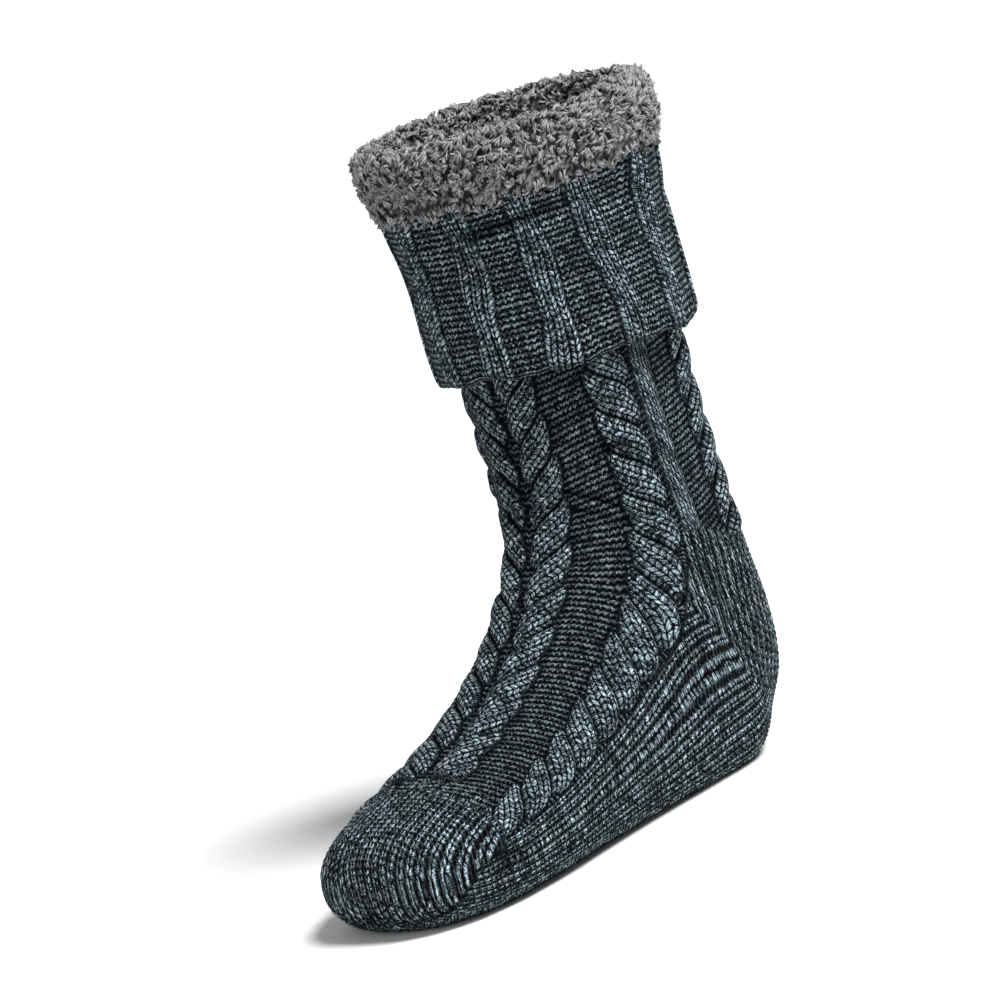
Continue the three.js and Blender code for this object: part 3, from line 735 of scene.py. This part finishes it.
# The form plus the knit's height along its normal, but above the floor, in three pieces one after the
# other; the first closes to a point at the toe. Spots below the blurred height get more painted shade, as in
# a recess.
def sockBody():
    angles = np.arange(body["columns"]) / body["columns"] * 2 * math.pi
    place, angle = np.meshgrid(bodyPlaces(), angles, indexing="ij")
    height, stitch, paintedShade = knitField(place, angle)
    points = offsetPoint(place, angle, height)
    points[..., 2] = np.maximum(points[..., 2], body["overFloor"])
    # Painted shade: more the deeper a spot lies below its blurred surroundings
    paintedShade = np.clip(paintedShade + np.clip((blurred(height) - height) / 2.0, 0, 0.4), 0, 0.93)
    rows, columns = place.shape
    normals = np.vstack([gridNormals(points).reshape(-1, 3), [[1, 0, 0]]])
    points = np.vstack([points.reshape(-1, 3), points[0].mean(axis=0)])
    stitches = np.vstack([stitch.reshape(-1, 3), [[0, 0, 0]]])
    paintedShades = np.append(paintedShade.ravel(), 0)
    cuts = [0, rows // 3, 2 * rows // 3, rows - 1]
    for number, name in enumerate(("knit_toe_and_instep", "knit_heel", "knit_leg")):
        first, last = cuts[number], cuts[number + 1]
        keep = np.arange(first * columns, (last + 1) * columns)
        faces = gridFaces(last - first + 1, columns)
        if number == 0:
            faces = np.vstack([halved(faces), fan(len(keep), np.arange(columns), against=True)])
            keep = np.append(keep, rows * columns)
        fields = {"stitch": stitches[keep], "paintedShade": paintedShades[keep]}
        piece = makePiece(name, points[keep], faces, knitLook, fields, normals[keep])
        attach(piece, "root")
        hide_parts("sock_body")


sockBody()
stageDone("knit body")


fleece = dict(
    skirt=33.0,  # how far it hangs over the cuff's top
    lining=24.0,  # how far the collar's pile goes down inside
    crown=11.0,  # how far it stands above the knit's edge
    clumpStep=3.3,
    clumpRadius=2.4,
    locksPerClump=9,
    lockLength=4.6,
    lockRadius=0.74,
    groundRows=64,
    groundColumns=300,
    insideRows=110,
    insideColumns=96,
)
topEdge = sock["ankleHeight"] + sock["shaftLength"]
collarTop = topEdge + fleece["crown"]
collarLow = collarTop - fleece["skirt"]


# Dark at a lock's root as painted shade and pale at its tip, with a broad noise over it and a fine one as
# bump.
def fleeceMaterial():
    material, field = newMaterial("grey_fleece")
    tip = attribute(field, "tip", 2)
    place = objectPlace(field)
    patch = field.node("ShaderNodeTexNoise", i0=place, Scale=160.0, Detail=2.0)
    tone = (tip * 1.5 + patch * 0.6 - 0.66).clamped()
    # The near-black end is the painted shade at the roots
    base = tone.colours(colour(16, 16, 17), colour(196, 194, 198))
    fuzz = field.node("ShaderNodeTexNoise", i0=place, Scale=700.0, Detail=3.0, Roughness=0.7)
    bump = field.node("ShaderNodeBump", Strength=1.0, Distance=0.0012, Height=fuzz)
    closeMaterial(field, base, 0.9, bump, Sheen_Weight=0.1, Sheen_Roughness=0.5, Specular_IOR_Level=0.2)
    return material


fleeceLook = fleeceMaterial()


# The fleece inside: the form drawn in by the knit's wall and a rough pile, closed to a point at the toe.
def lining():
    angles = np.arange(fleece["insideColumns"]) / fleece["insideColumns"] * 2 * math.pi
    place, angle = np.meshgrid(np.linspace(0.25, lastPlace, fleece["insideRows"]), angles, indexing="ij")
    depth = -sock["knitWall"] - 1.5 - 1.2 * rng.random(place.shape)
    points = offsetPoint(place, angle, depth)
    faces = np.vstack([halved(gridFaces(*place.shape)[:, ::-1]), fan(place.size, np.arange(len(angles)))])
    points = np.vstack([points.reshape(-1, 3), points[0].mean(axis=0)])
    piece = makePiece("fleece_lining", points, faces, fleeceLook, {"tip": rng.random(len(points))})
    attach(piece, "root")


# Point beside the leg's wall; above the top edge the wall's own direction is carried straight up.
def collarPoint(height, angle, offset):
    height, angle, offset = np.broadcast_arrays(height, angle, offset)
    point = offsetPoint(placeAtHeight(np.minimum(height, topEdge)), angle, offset)
    point[..., 2] = height + sock["soleFloor"]
    return point


# The pile's ground, as height and offset, from under the skirt over the crown to the lining.
collarProfile = np.array(
    [
        (collarLow + 5, 1.2),
        (collarLow + 1, 1.5),
        (collarLow - 0.5, 3.2),
        (collarLow + 1.5, 5.4),
        (collarLow + 7, 6.4),
        (collarLow + 16, 6.6),
        (collarLow + 24, 6.2),
        (collarTop - 4, 4.6),
        (collarTop - 1.8, 1.6),
        (collarTop - 1.6, -2.2),
        (collarTop - 5, -6.4),
        (topEdge - 6, -8.2),
        (topEdge - 16, -8.6),
        (topEdge - fleece["lining"] - 6, -7.6),
    ]
)


# Height and offset at a share of the profile's length.
def profileAt(share):
    steps = np.linalg.norm(np.diff(collarProfile, axis=0), axis=1)
    length = np.concatenate([[0], np.cumsum(steps)]) / steps.sum()
    return np.interp(share, length, collarProfile[:, 0]), np.interp(share, length, collarProfile[:, 1])


# Point of the band at a share of its profile and an angle.
def collarSurface(share, angle):
    height, offset = profileAt(share)
    return collarPoint(height, angle, offset)


# Outward direction, square to two short steps along the band.
def surfaceNormal(share, angle, step=0.006):
    along = collarSurface(share + step, angle) - collarSurface(share - step, angle)
    around = collarSurface(share, angle + step) - collarSurface(share, angle - step)
    normal = np.cross(around, along)
    return normal / np.maximum(np.linalg.norm(normal, axis=-1, keepdims=True), 1e-9)


# The band's surface lifted by crossed waves and a little noise; its low tip values paint it dark like the
# roots, as shade under the locks.
def fleeceGround():
    rows, columns = fleece["groundRows"], fleece["groundColumns"]
    turns = np.arange(columns) / columns * 2 * math.pi
    share, angle = np.meshgrid(np.linspace(0, 1, rows), turns, indexing="ij")
    lumps = 0.7 * np.sin(37 * angle + 5 * np.sin(20 * share)) * np.sin(60 * share + 3 * np.sin(9 * angle))
    lift = 0.4 * lumps + 0.3 * rng.random(share.shape)
    points = collarSurface(share, angle) + surfaceNormal(share, angle, 0.004) * lift[..., None]
    # Low values: painted shade under the locks, with a random spread
    fields = {"tip": 0.1 + 0.4 * rng.random(share.size)}
    piece = makePiece("fleece_ground", points.reshape(-1, 3), gridFaces(rows, columns), fleeceLook, fields)
    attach(piece, "root")
    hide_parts("fleece_collar")


# Clumps stand in staggered rows up the band, in each row as many as its ring has room for.
def clumpPlaces():
    length = np.linalg.norm(np.diff(collarProfile, axis=0), axis=1).sum()
    rowCount = int(length / fleece["clumpStep"])
    shares, turns = [], []
    for row in range(rowCount):
        share = (row + 0.5) / rowCount
        ring = collarSurface(np.full(64, share), np.arange(64) / 64 * 2 * math.pi)
        around = np.linalg.norm(np.roll(ring, -1, axis=0) - ring, axis=1).sum()
        count = int(around / fleece["clumpStep"])
        shares.append(np.clip(share + rng.normal(0, 0.25 / rowCount, count), 0.03, 0.97))
        turns.append((np.arange(count) + 0.5 * (row % 2) + rng.normal(0, 0.25, count)) / count * 2 * math.pi)
    return np.concatenate(shares), np.concatenate(turns)


# Root, tip, bow and ground's normal of each lock: roots spread over a disc round the clump's centre, and
# tips drawn together at its peak, which is the centre plus a height and a lean in the comb's direction.
def lockLines(share, turn):
    centre = collarSurface(share, turn)
    normal = surfaceNormal(share, turn)
    side = np.cross(np.array([0.0, 0.0, 1.0]), normal)
    side /= np.maximum(np.linalg.norm(side, axis=-1, keepdims=True), 1e-6)
    rise = np.cross(normal, side)
    clumps, per = len(share), fleece["locksPerClump"]
    # Neighbouring clumps lean alike: slow waves round the band and up it steer them.
    comb = math.radians(55) + 1.1 * np.sin(5 * turn + 9 * share) + 0.9 * np.sin(13 * turn - 14 * share + 1.0)
    comb = comb + rng.normal(0, 0.4, clumps)
    # At the band's lower edge the pile hangs down over the knit.
    comb = np.where(share < 0.16, -math.pi / 2 + 0.5 * np.sin(17 * turn), comb)
    # Near the rim it is combed flatter and longer.
    combed = bell((share - 0.4) / 0.1)
    lean = rng.uniform(1.8, 3.8, clumps) * (1 + 0.7 * combed)
    comb = comb * (1 - 0.6 * combed) + 0.6 * math.radians(50) * combed
    leanSide = (lean * np.cos(comb))[:, None, None] * side[:, None]
    leanRise = (lean * np.sin(comb))[:, None, None] * rise[:, None]
    tall = fleece["lockLength"] * rng.uniform(0.2, 0.8, (clumps, 1, 1))
    peak = centre[:, None] + normal[:, None] * tall + leanSide + leanRise
    spin = rng.uniform(0, 2 * math.pi, (clumps, per, 1))
    wide = fleece["clumpRadius"] * np.sqrt(rng.uniform(0.05, 1, (clumps, per, 1)))
    root = centre[:, None] + wide * (np.cos(spin) * side[:, None] + np.sin(spin) * rise[:, None])
    root = root - normal[:, None] * 0.9
    scatter = rng.normal(0, 0.34, (clumps, per, 3))
    tip = peak + scatter - normal[:, None] * rng.uniform(0, 1.3, (clumps, per, 1))
    curl = rng.normal(0, 0.9, (clumps, 1, 3))
    bow = curl + rng.normal(0, 0.35, (clumps, per, 3)) + 0.42 * (root - centre[:, None])
    return *(values.reshape(-1, 3) for values in (root, tip, bow)), np.repeat(normal, per, axis=0)


# Corners and faces of the locks: two twisted three-sided rings on root + step * (tip - root)
# + bow * sin(pi * step), closed at the root and drawn to the tip.
def lockShapes(root, tip, bow, normals):
    axis = tip - root
    axis /= np.linalg.norm(axis, axis=1, keepdims=True)
    first = np.cross(axis, normals + 0.3 * rng.normal(size=root.shape))
    first /= np.maximum(np.linalg.norm(first, axis=1, keepdims=True), 1e-6)
    second = np.cross(axis, first)
    corners = []
    for step, share in ((0.0, 1.0), (0.55, 0.95)):
        middle = root + (tip - root) * step + bow * math.sin(math.pi * step)
        for corner in range(3):
            turnAt = corner * 2 * math.pi / 3 + step * 1.5
            outward = math.cos(turnAt) * first + math.sin(turnAt) * second
            corners.append(middle + fleece["lockRadius"] * share * outward)
    corners.append(tip)
    faces = [(0, 2, 1)]
    for corner in range(3):
        beside = (corner + 1) % 3
        faces += [(corner, beside, beside + 3), (corner, beside + 3, corner + 3), (corner + 3, beside + 3, 6)]
    return np.stack(corners, axis=1), np.array(faces)


# The locks in two pieces, each point's tip value rising from its root to its end: painted shade at the root.
def fleeceLocks():
    share, turn = clumpPlaces()
    points, faces = lockShapes(*lockLines(share, turn))
    count = len(points)
    # Painted shade: 0 at the root ring, 0.6 halfway, 1 at the tip, times a random spread
    tips = np.array([0.0] * 3 + [0.6] * 3 + [1.0]) * rng.uniform(0.75, 1.1, (count, 1))
    for number, chosen in enumerate((slice(0, count // 2), slice(count // 2, count))):
        part = points[chosen]
        offset = (np.arange(len(part)) * part.shape[1])[:, None, None]
        piece = makePiece(
            f"fleece_locks_{number + 1}",
            part.reshape(-1, 3),
            (faces[None] + offset).reshape(-1, 3),
            fleeceLook,
            {"tip": tips[chosen].ravel()},
        )
        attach(piece, "root")
        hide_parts("fleece_collar")


lining()
fleeceGround()
fleeceLocks()
stageDone("fleece")


cuff = dict(
    length=80.0,
    wall=3.6,
    flare=5.8,
    cordHeight=1.9,
    cordWidth=4.5,
    sets=12,
    course=2.9,
    slantAngle=1.31,  # where a set of cords slants, in radians
    columns=528,  # of the mesh
    rows=118,
    edgeRows=10,
    firstRow=0.02,  # share of the length where the outside begins, above the rolled edge
)
legRadius = (sock["legWidth"] + sock["legDepth"]) / 4
cuffTop = collarLow - 0.3
cuffLow = cuffTop - cuff["length"]


# The cuff's inside stands off the leg by 0.3 mm at the top and by the flare at the lower edge.
def cuffStandOff(share):
    return 0.3 + (cuff["flare"] - 0.3) * (1 - smooth(share / 0.8))


# Height of a share of the cuff's length; towards the lower edge its soft waves come in.
def cuffHeight(share, angle):
    ripple = 0.9 * np.sin(5 * angle + 1.0) + 0.6 * np.sin(12 * angle) + 0.3 * np.sin(31 * angle)
    return cuffLow + share * cuff["length"] + ripple * (1 - smooth(share * 3))


# Soft folds of the cuff: angle and height of the middle, reach round and along, lean, depth.
folds = [
    dict(angle=36, along=70, around=26, reach=2.6, lean=0.06, depth=-2.9),
    dict(angle=42, along=63, around=24, reach=4.5, lean=0.06, depth=1.5),
    dict(angle=55, along=76, around=16, reach=3.0, lean=0.1, depth=1.2),
    dict(angle=78, along=52, around=10, reach=18, lean=-0.4, depth=1.2),
    dict(angle=62, along=40, around=7, reach=26, lean=0.0, depth=-1.3),
    dict(angle=96, along=66, around=20, reach=5, lean=-0.2, depth=-1.4),
    dict(angle=5, along=30, around=16, reach=16, lean=0.2, depth=0.9),
    dict(angle=150, along=58, around=26, reach=6, lean=0.1, depth=-1.3),
    dict(angle=200, along=30, around=24, reach=12, lean=-0.1, depth=1.0),
    dict(angle=262, along=64, around=30, reach=5, lean=-0.1, depth=-1.5),
    dict(angle=310, along=44, around=16, reach=18, lean=0.3, depth=-1.0),
]


# Sum of soft troughs and ridges and of a slow wave round the lower edge.
def cuffFolds(angle, along):
    turn = np.degrees(angle)
    total = 0.7 * np.sin(angle * 9 + 2 * np.sin(3 * angle)) * np.exp(-along / 16)
    for fold in folds:
        turnAway = np.mod(turn - fold["angle"] + 180, 360) - 180
        away = (along - fold["along"] - fold["lean"] * turnAway) / fold["reach"]
        total = total + fold["depth"] * bell(away, turnAway / fold["around"])
    return total


# Three round cords in each set, as half circles across, over purl ridges; along is the length from the
# edge. Gives height, stitch coordinates and how much painted shade each spot gets: on the cords' sides, in
# the grooves beside each set, on the purl and in the folds' troughs.
def cuffField(angle, along):
    pitch = 2 * math.pi / cuff["sets"]
    # The sets wander a little, and one near the left side slants.
    sway = 0.02 * np.sin(along / 17 + 3 * angle) + 0.012 * np.sin(along / 7 + 11 * angle)
    beside = np.mod(angle - cuff["slantAngle"] + math.pi, 2 * math.pi) - math.pi
    slant = 0.0022 * (cuff["length"] / 2 - along) * bell(beside / 0.3)
    turned = np.mod(angle + sway - slant, pitch) - pitch / 2
    across = turned * (legRadius + cuff["flare"] + cuff["wall"]) / cuff["cordWidth"]
    inCord = np.abs(across) < 1.5
    local = np.mod(across + 0.5, 1) * 2 - 1
    cord = cuff["cordHeight"] * (0.05 + 0.95 * np.sqrt(np.maximum(0, 1 - local**2)))
    course = along / cuff["course"]
    purl = 0.35 * (0.5 + 0.5 * np.cos(2 * math.pi * course))
    height = np.where(inCord, cord * smooth((1.5 - np.abs(across)) / 0.15), purl)
    wale = np.where(inCord, across + 0.5, across * cuff["cordWidth"] / 2.7)
    kind = np.where(inCord, 0, 1)
    # Painted shade on the cords' sides and an even share on the purl
    paintedShade = np.where(inCord, 0.92 * np.abs(local) ** 4, 0.3)
    # Painted shadow in the grooves beside each set
    paintedShade = np.maximum(paintedShade, 0.85 * bell((np.abs(across) - 1.6) / 0.16))
    folded = cuffFolds(angle, along)
    # Painted shade in the folds' troughs
    paintedShade = np.clip(paintedShade + np.clip(-folded * 0.2, 0, 0.5), 0, 0.95)
    return height + folded, np.stack([wale, course, kind], axis=-1), paintedShade


# The outside is stand-off, wall and field; the lower edge rolls round in half a turn, and the back of the
# cuff runs up inside to half its length.
def ribbedCuff():
    angles = np.arange(cuff["columns"]) / cuff["columns"] * 2 * math.pi
    outside = np.linspace(cuff["firstRow"], 1.04, cuff["rows"])
    share, angle = np.meshgrid(outside, angles, indexing="ij")
    along = share * cuff["length"]
    height, stitch, paintedShade = cuffField(angle, along)
    offset = cuffStandOff(share) + cuff["wall"] + height * (0.4 + 0.6 * smooth(along / 4.0))
    outer = offsetPoint(placeAtHeight(cuffHeight(share, angle)), angle, offset)
    extra = cuff["edgeRows"]
    rolled = ((np.arange(extra) + 0.5) / extra * math.pi)[:, None]
    middle = cuffStandOff(0.0) + cuff["wall"] / 2
    reach = np.where(rolled < math.pi / 2, offset[0] - middle, cuff["wall"] / 2)
    edgeHeight = cuffHeight(0.0, angles) + cuff["firstRow"] * cuff["length"] - 2.2 * np.sin(rolled)
    edge = offsetPoint(placeAtHeight(edgeHeight), angles, middle + reach * np.cos(rolled))
    innerShare = np.linspace(cuff["firstRow"], 0.5, extra)[:, None]
    inner = offsetPoint(placeAtHeight(cuffHeight(innerShare, angles)), angles, cuffStandOff(innerShare))
    points = np.concatenate([inner[::-1], edge[::-1], outer])
    # Out of sight the stitches of the first row run on.
    edgeStitch = np.repeat(stitch[:1], 2 * extra, axis=0)
    edgeStitch[..., 1] = np.linspace(-6, 0, 2 * extra)[:, None]
    stitches = np.concatenate([edgeStitch, stitch])
    # Painted shade on the rolled edge: half the first row's plus an even share
    paintedShades = np.concatenate([np.repeat(paintedShade[:1] * 0.5 + 0.3, 2 * extra, axis=0), paintedShade])
    piece = makePiece(
        "turned_cuff",
        points.reshape(-1, 3),
        gridFaces(*points.shape[:2]),
        cuffLook,
        {"stitch": stitches.reshape(-1, 3), "paintedShade": paintedShades.ravel()},
        gridNormals(points).reshape(-1, 3),
    )
    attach(piece, "root")
    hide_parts("ribbed_cuff")


ribbedCuff()
stageDone("cuff")


tab = dict(
    width=14.5,
    length=27.0,
    thickness=1.2,
    angle=231.0,  # degrees from the front
    tuck=7.0,  # length inside the cuff
    overPurl=1.9,  # so that it lies clear on the cords
    stitches=5,
    seamDown=3.6,  # from the tab's upper end
    stitch=2.1,  # its length
    thread=0.42,  # its radius
)
tabOffset = cuff["flare"] + cuff["wall"] + tab["overPurl"]
tabRadius = legRadius + tabOffset
tabAngle = math.radians(tab["angle"])


# Two browns blended by a broad noise, with the edges of small cells as grain.
def leatherMaterial():
    material, field = newMaterial("tan_leather")
    place = objectPlace(field)
    patch = field.node("ShaderNodeTexNoise", i0=place, Scale=140.0, Detail=5.0, Roughness=0.65)
    grain = field.node("ShaderNodeTexVoronoi", {"feature": "DISTANCE_TO_EDGE"}, i0=place, Scale=1500.0)
    base = patch.step(0.3, 0.72).colours(colour(128, 62, 24), colour(192, 100, 44))
    bump = field.node("ShaderNodeBump", Strength=0.5, Distance=0.0004, Height=grain)
    closeMaterial(field, base, 0.55, bump, Specular_IOR_Level=0.4)
    return material


leatherLook = leatherMaterial()


# A flat superellipse carried along the strip's middle line, which comes down outside, turns half round
# below the cuff's lower edge and goes up inside; heights are from that edge. Both ends are closed.
def leatherTab():
    half = tab["thickness"] / 2
    insideAt = float(cuffStandOff(tab["tuck"] / cuff["length"])) - 0.6
    reach = (tabOffset - insideAt + tab["thickness"]) / 2
    down = np.linspace(tab["length"], 0.8, 34)
    fold = np.linspace(0, math.pi, 14)[1:-1]
    up = np.linspace(0.8, tab["tuck"], 8)
    heights = np.concatenate([down, -1.0 - 0.48 * np.sin(fold), up])
    turning = (tabOffset + insideAt) / 2 + reach * np.cos(fold)
    offsets = np.concatenate([tabOffset + half + 0 * down, turning, insideAt - half + 0 * up])
    direction = np.gradient(np.stack([heights, offsets], axis=1), axis=0)
    direction /= np.linalg.norm(direction, axis=1, keepdims=True)
    around = np.linspace(0, 2 * math.pi, 40, endpoint=False)
    sideways = np.sign(np.cos(around)) * np.abs(np.cos(around)) ** 0.22 * tab["width"] / 2
    outward = np.sign(np.sin(around)) * np.abs(np.sin(around)) ** 0.8 * half
    height = heights[:, None] - direction[:, 1, None] * outward
    offset = offsets[:, None] + direction[:, 0, None] * outward
    points = offsetPoint(placeAtHeight(cuffLow + height), tabAngle + sideways / tabRadius, offset)
    ends = np.stack([points[0].mean(axis=0), points[-1].mean(axis=0)])
    faces = closedTube(*height.shape)
    piece = makePiece("leather_tab_shape", np.vstack([points.reshape(-1, 3), ends]), faces, leatherLook)
    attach(piece, "root")
    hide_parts("leather_tab")


# A row of slanted stitches across the tab. Each is a round thread, thinner towards its ends, on a bow of
# half a sine that dips into the leather.
def tabStitches():
    count, rows, sides = tab["stitches"], 9, 8
    outside = tabOffset + tab["thickness"]
    turns = np.arange(sides) / sides * 2 * math.pi
    along, around = np.meshgrid(np.linspace(0, 1, rows), turns, indexing="ij")
    thick = tab["thread"] * np.sqrt(np.maximum(0.02, 1 - (2 * along - 1) ** 4))
    places = (np.arange(count) / (count - 1) - 0.5) * (tab["width"] - 3.4)
    across = places[:, None, None] + (along - 0.5) * tab["stitch"]
    height = tab["length"] - tab["seamDown"] + 0.5 * (along - 0.5) + thick * np.cos(around)
    lift = outside - 0.15 + 0.3 * np.sin(math.pi * along) + thick * np.sin(around)
    turn = tabAngle + across / (tabRadius + tab["thickness"])
    points = offsetPoint(placeAtHeight(cuffLow + height), turn, lift)
    here, last = np.arange(1, sides - 1), (rows - 1) * sides
    first = np.stack([0 * here, here + 1, here], axis=-1)
    end = np.stack([0 * here + last, last + here, last + here + 1], axis=-1)
    stitch = np.vstack([halved(gridFaces(rows, sides)), first, end])
    faces = (stitch[None] + (np.arange(count) * rows * sides)[:, None, None]).reshape(-1, 3)
    piece = makePiece("tab_stitches", points.reshape(-1, 3), faces, threadLook)
    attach(piece, "root")


# Two pale browns blended by a fine noise.
def threadMaterial():
    material, field = newMaterial("pale_thread")
    place = objectPlace(field)
    patch = field.node("ShaderNodeTexNoise", i0=place, Scale=2500.0, Detail=2.0)
    closeMaterial(field, patch.colours(colour(170, 96, 50), colour(222, 150, 96)), 0.7)
    return material


threadLook = threadMaterial()
leatherTab()
tabStitches()


dots = dict(radius=3.3, sides=28)

# A dot's section from its top over the round side to its dished face: share of the radius, height.
dotSection = np.array(
    [
        (0.0, 1.25),
        (0.55, 1.25),
        (0.86, 1.25),
        (0.99, 1.0),
        (1.0, 0.7),
        (0.96, 0.3),
        (0.86, 0.04),
        (0.72, 0.06),
        (0.5, 0.22),
        (0.25, 0.3),
        (0.0, 0.32),
    ]
)


# Smooth milky grey that lets a little light through.
def siliconeMaterial():
    material, field = newMaterial("grey_silicone")
    place = objectPlace(field)
    patch = field.node("ShaderNodeTexNoise", i0=place, Scale=300.0, Detail=2.0)
    base = patch.colours(colour(112, 124, 128), colour(150, 160, 163))
    closeMaterial(field, base, 0.28, None, Transmission_Weight=0.35, IOR=1.41, Coat_Weight=0.3)
    return material


siliconeLook = siliconeMaterial()


# Round drops with a raised rim and a dished face: the section turned about the middle of each of the
# part's own dots.
def gripperDots():
    names = sorted(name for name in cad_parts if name.startswith("gripper_dot"))
    around = np.arange(dots["sides"]) / dots["sides"] * 2 * math.pi
    radius = dots["radius"] * dotSection[1:-1, 0, None]
    height = dotSection[1:-1, 1, None] + 0 * around
    drop = np.stack([radius * np.cos(around), radius * np.sin(around), height], axis=-1)
    ends = [(0, 0, dotSection[0, 1]), (0, 0, dotSection[-1, 1])]
    drop = np.vstack([drop.reshape(-1, 3), ends])
    boxes = np.array([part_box(name) for name in names]) / mm - shift
    spots = np.stack([*boxes.mean(axis=1).T[:2], boxes[:, 0, 2]], axis=-1)
    faces = closedTube(len(dotSection) - 2, dots["sides"])
    faces = (faces[None] + (np.arange(len(names)) * len(drop))[:, None, None]).reshape(-1, 3)
    points = (spots[:, None] + drop[None]).reshape(-1, 3)
    piece = makePiece("silicone_dots", points, faces, siliconeLook)
    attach(piece, "root")
    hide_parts(*names)


gripperDots()
stageDone("tab and dots")


studio = dict(floorHalf=6.0, floorTone=0.9, floorRoughness=0.8, sky=0.32)
suns = [
    dict(name="key_light", direction=(-0.15, 0.68, 1.05), strength=4.6, spread=22),
    dict(name="front_light", direction=(0.9, 0.25, 0.5), strength=0.45, spread=40),
]


# A plain pale floor, square about the origin, and an even white sky.
def softRoom():
    half = studio["floorHalf"]
    corners = [(-half, -half, 0), (half, -half, 0), (half, half, 0), (-half, half, 0)]
    mesh = bpy.data.meshes.new("floor")
    mesh.from_pydata(corners, [], [(0, 1, 2, 3)])
    material, field = newMaterial("pale_floor")
    closeMaterial(field, (*[studio["floorTone"]] * 3, 1), studio["floorRoughness"])
    mesh.materials.append(material)
    floor = bpy.data.objects.new("floor", mesh)
    bpy.context.scene.collection.objects.link(floor)
    world = bpy.data.worlds.new("soft_room")
    world.use_nodes = True
    background = world.node_tree.nodes["Background"]
    background.inputs[0].default_value = (1, 1, 1, 1)
    background.inputs[1].default_value = studio["sky"]
    bpy.context.scene.world = world
    bpy.context.scene.view_settings.view_transform = "Standard"


# Wide soft lights from far off, so the floor is lit evenly; each shines from its direction.
def softSuns():
    for sun in suns:
        data = bpy.data.lights.new(sun["name"], "SUN")
        data.energy = sun["strength"]
        data.angle = math.radians(sun["spread"])
        light = bpy.data.objects.new(sun["name"], data)
        bpy.context.scene.collection.objects.link(light)
        light.rotation_mode = "QUATERNION"
        light.rotation_quaternion = Vector(sun["direction"]).to_track_quat("Z", "Y")


look = dict(azimuth=47.0, elevation=10.0, roll=17.0, distance=2.6, lens=204.0, target=(-0.002, 0.0, 0.158))


# The camera stands at a distance from its target, turned round the vertical from the toe towards the
# left side, raised, and rolled about its own axis. Metres.
def placeCamera():
    turn, rise = math.radians(look["azimuth"]), math.radians(look["elevation"])
    back = Vector((math.cos(turn) * math.cos(rise), math.sin(turn) * math.cos(rise), math.sin(rise)))
    right = Vector((0, 0, 1)).cross(back).normalized()
    up = back.cross(right)
    roll = math.radians(look["roll"])
    rolledRight = right * math.cos(roll) - up * math.sin(roll)
    rolledUp = back.cross(rolledRight)
    data = bpy.data.cameras.new("camera")
    data.lens = look["lens"]
    data.clip_start = 0.05
    data.clip_end = 50
    camera = bpy.data.objects.new("camera", data)
    bpy.context.scene.collection.objects.link(camera)
    spot = Vector(look["target"]) + back * look["distance"]
    matrix = Matrix((rolledRight, rolledUp, back)).transposed().to_4x4()
    matrix.translation = spot
    camera.matrix_world = matrix
    bpy.context.scene.camera = camera


softRoom()
placeCamera()
softSuns()
stageDone("room, light and camera")
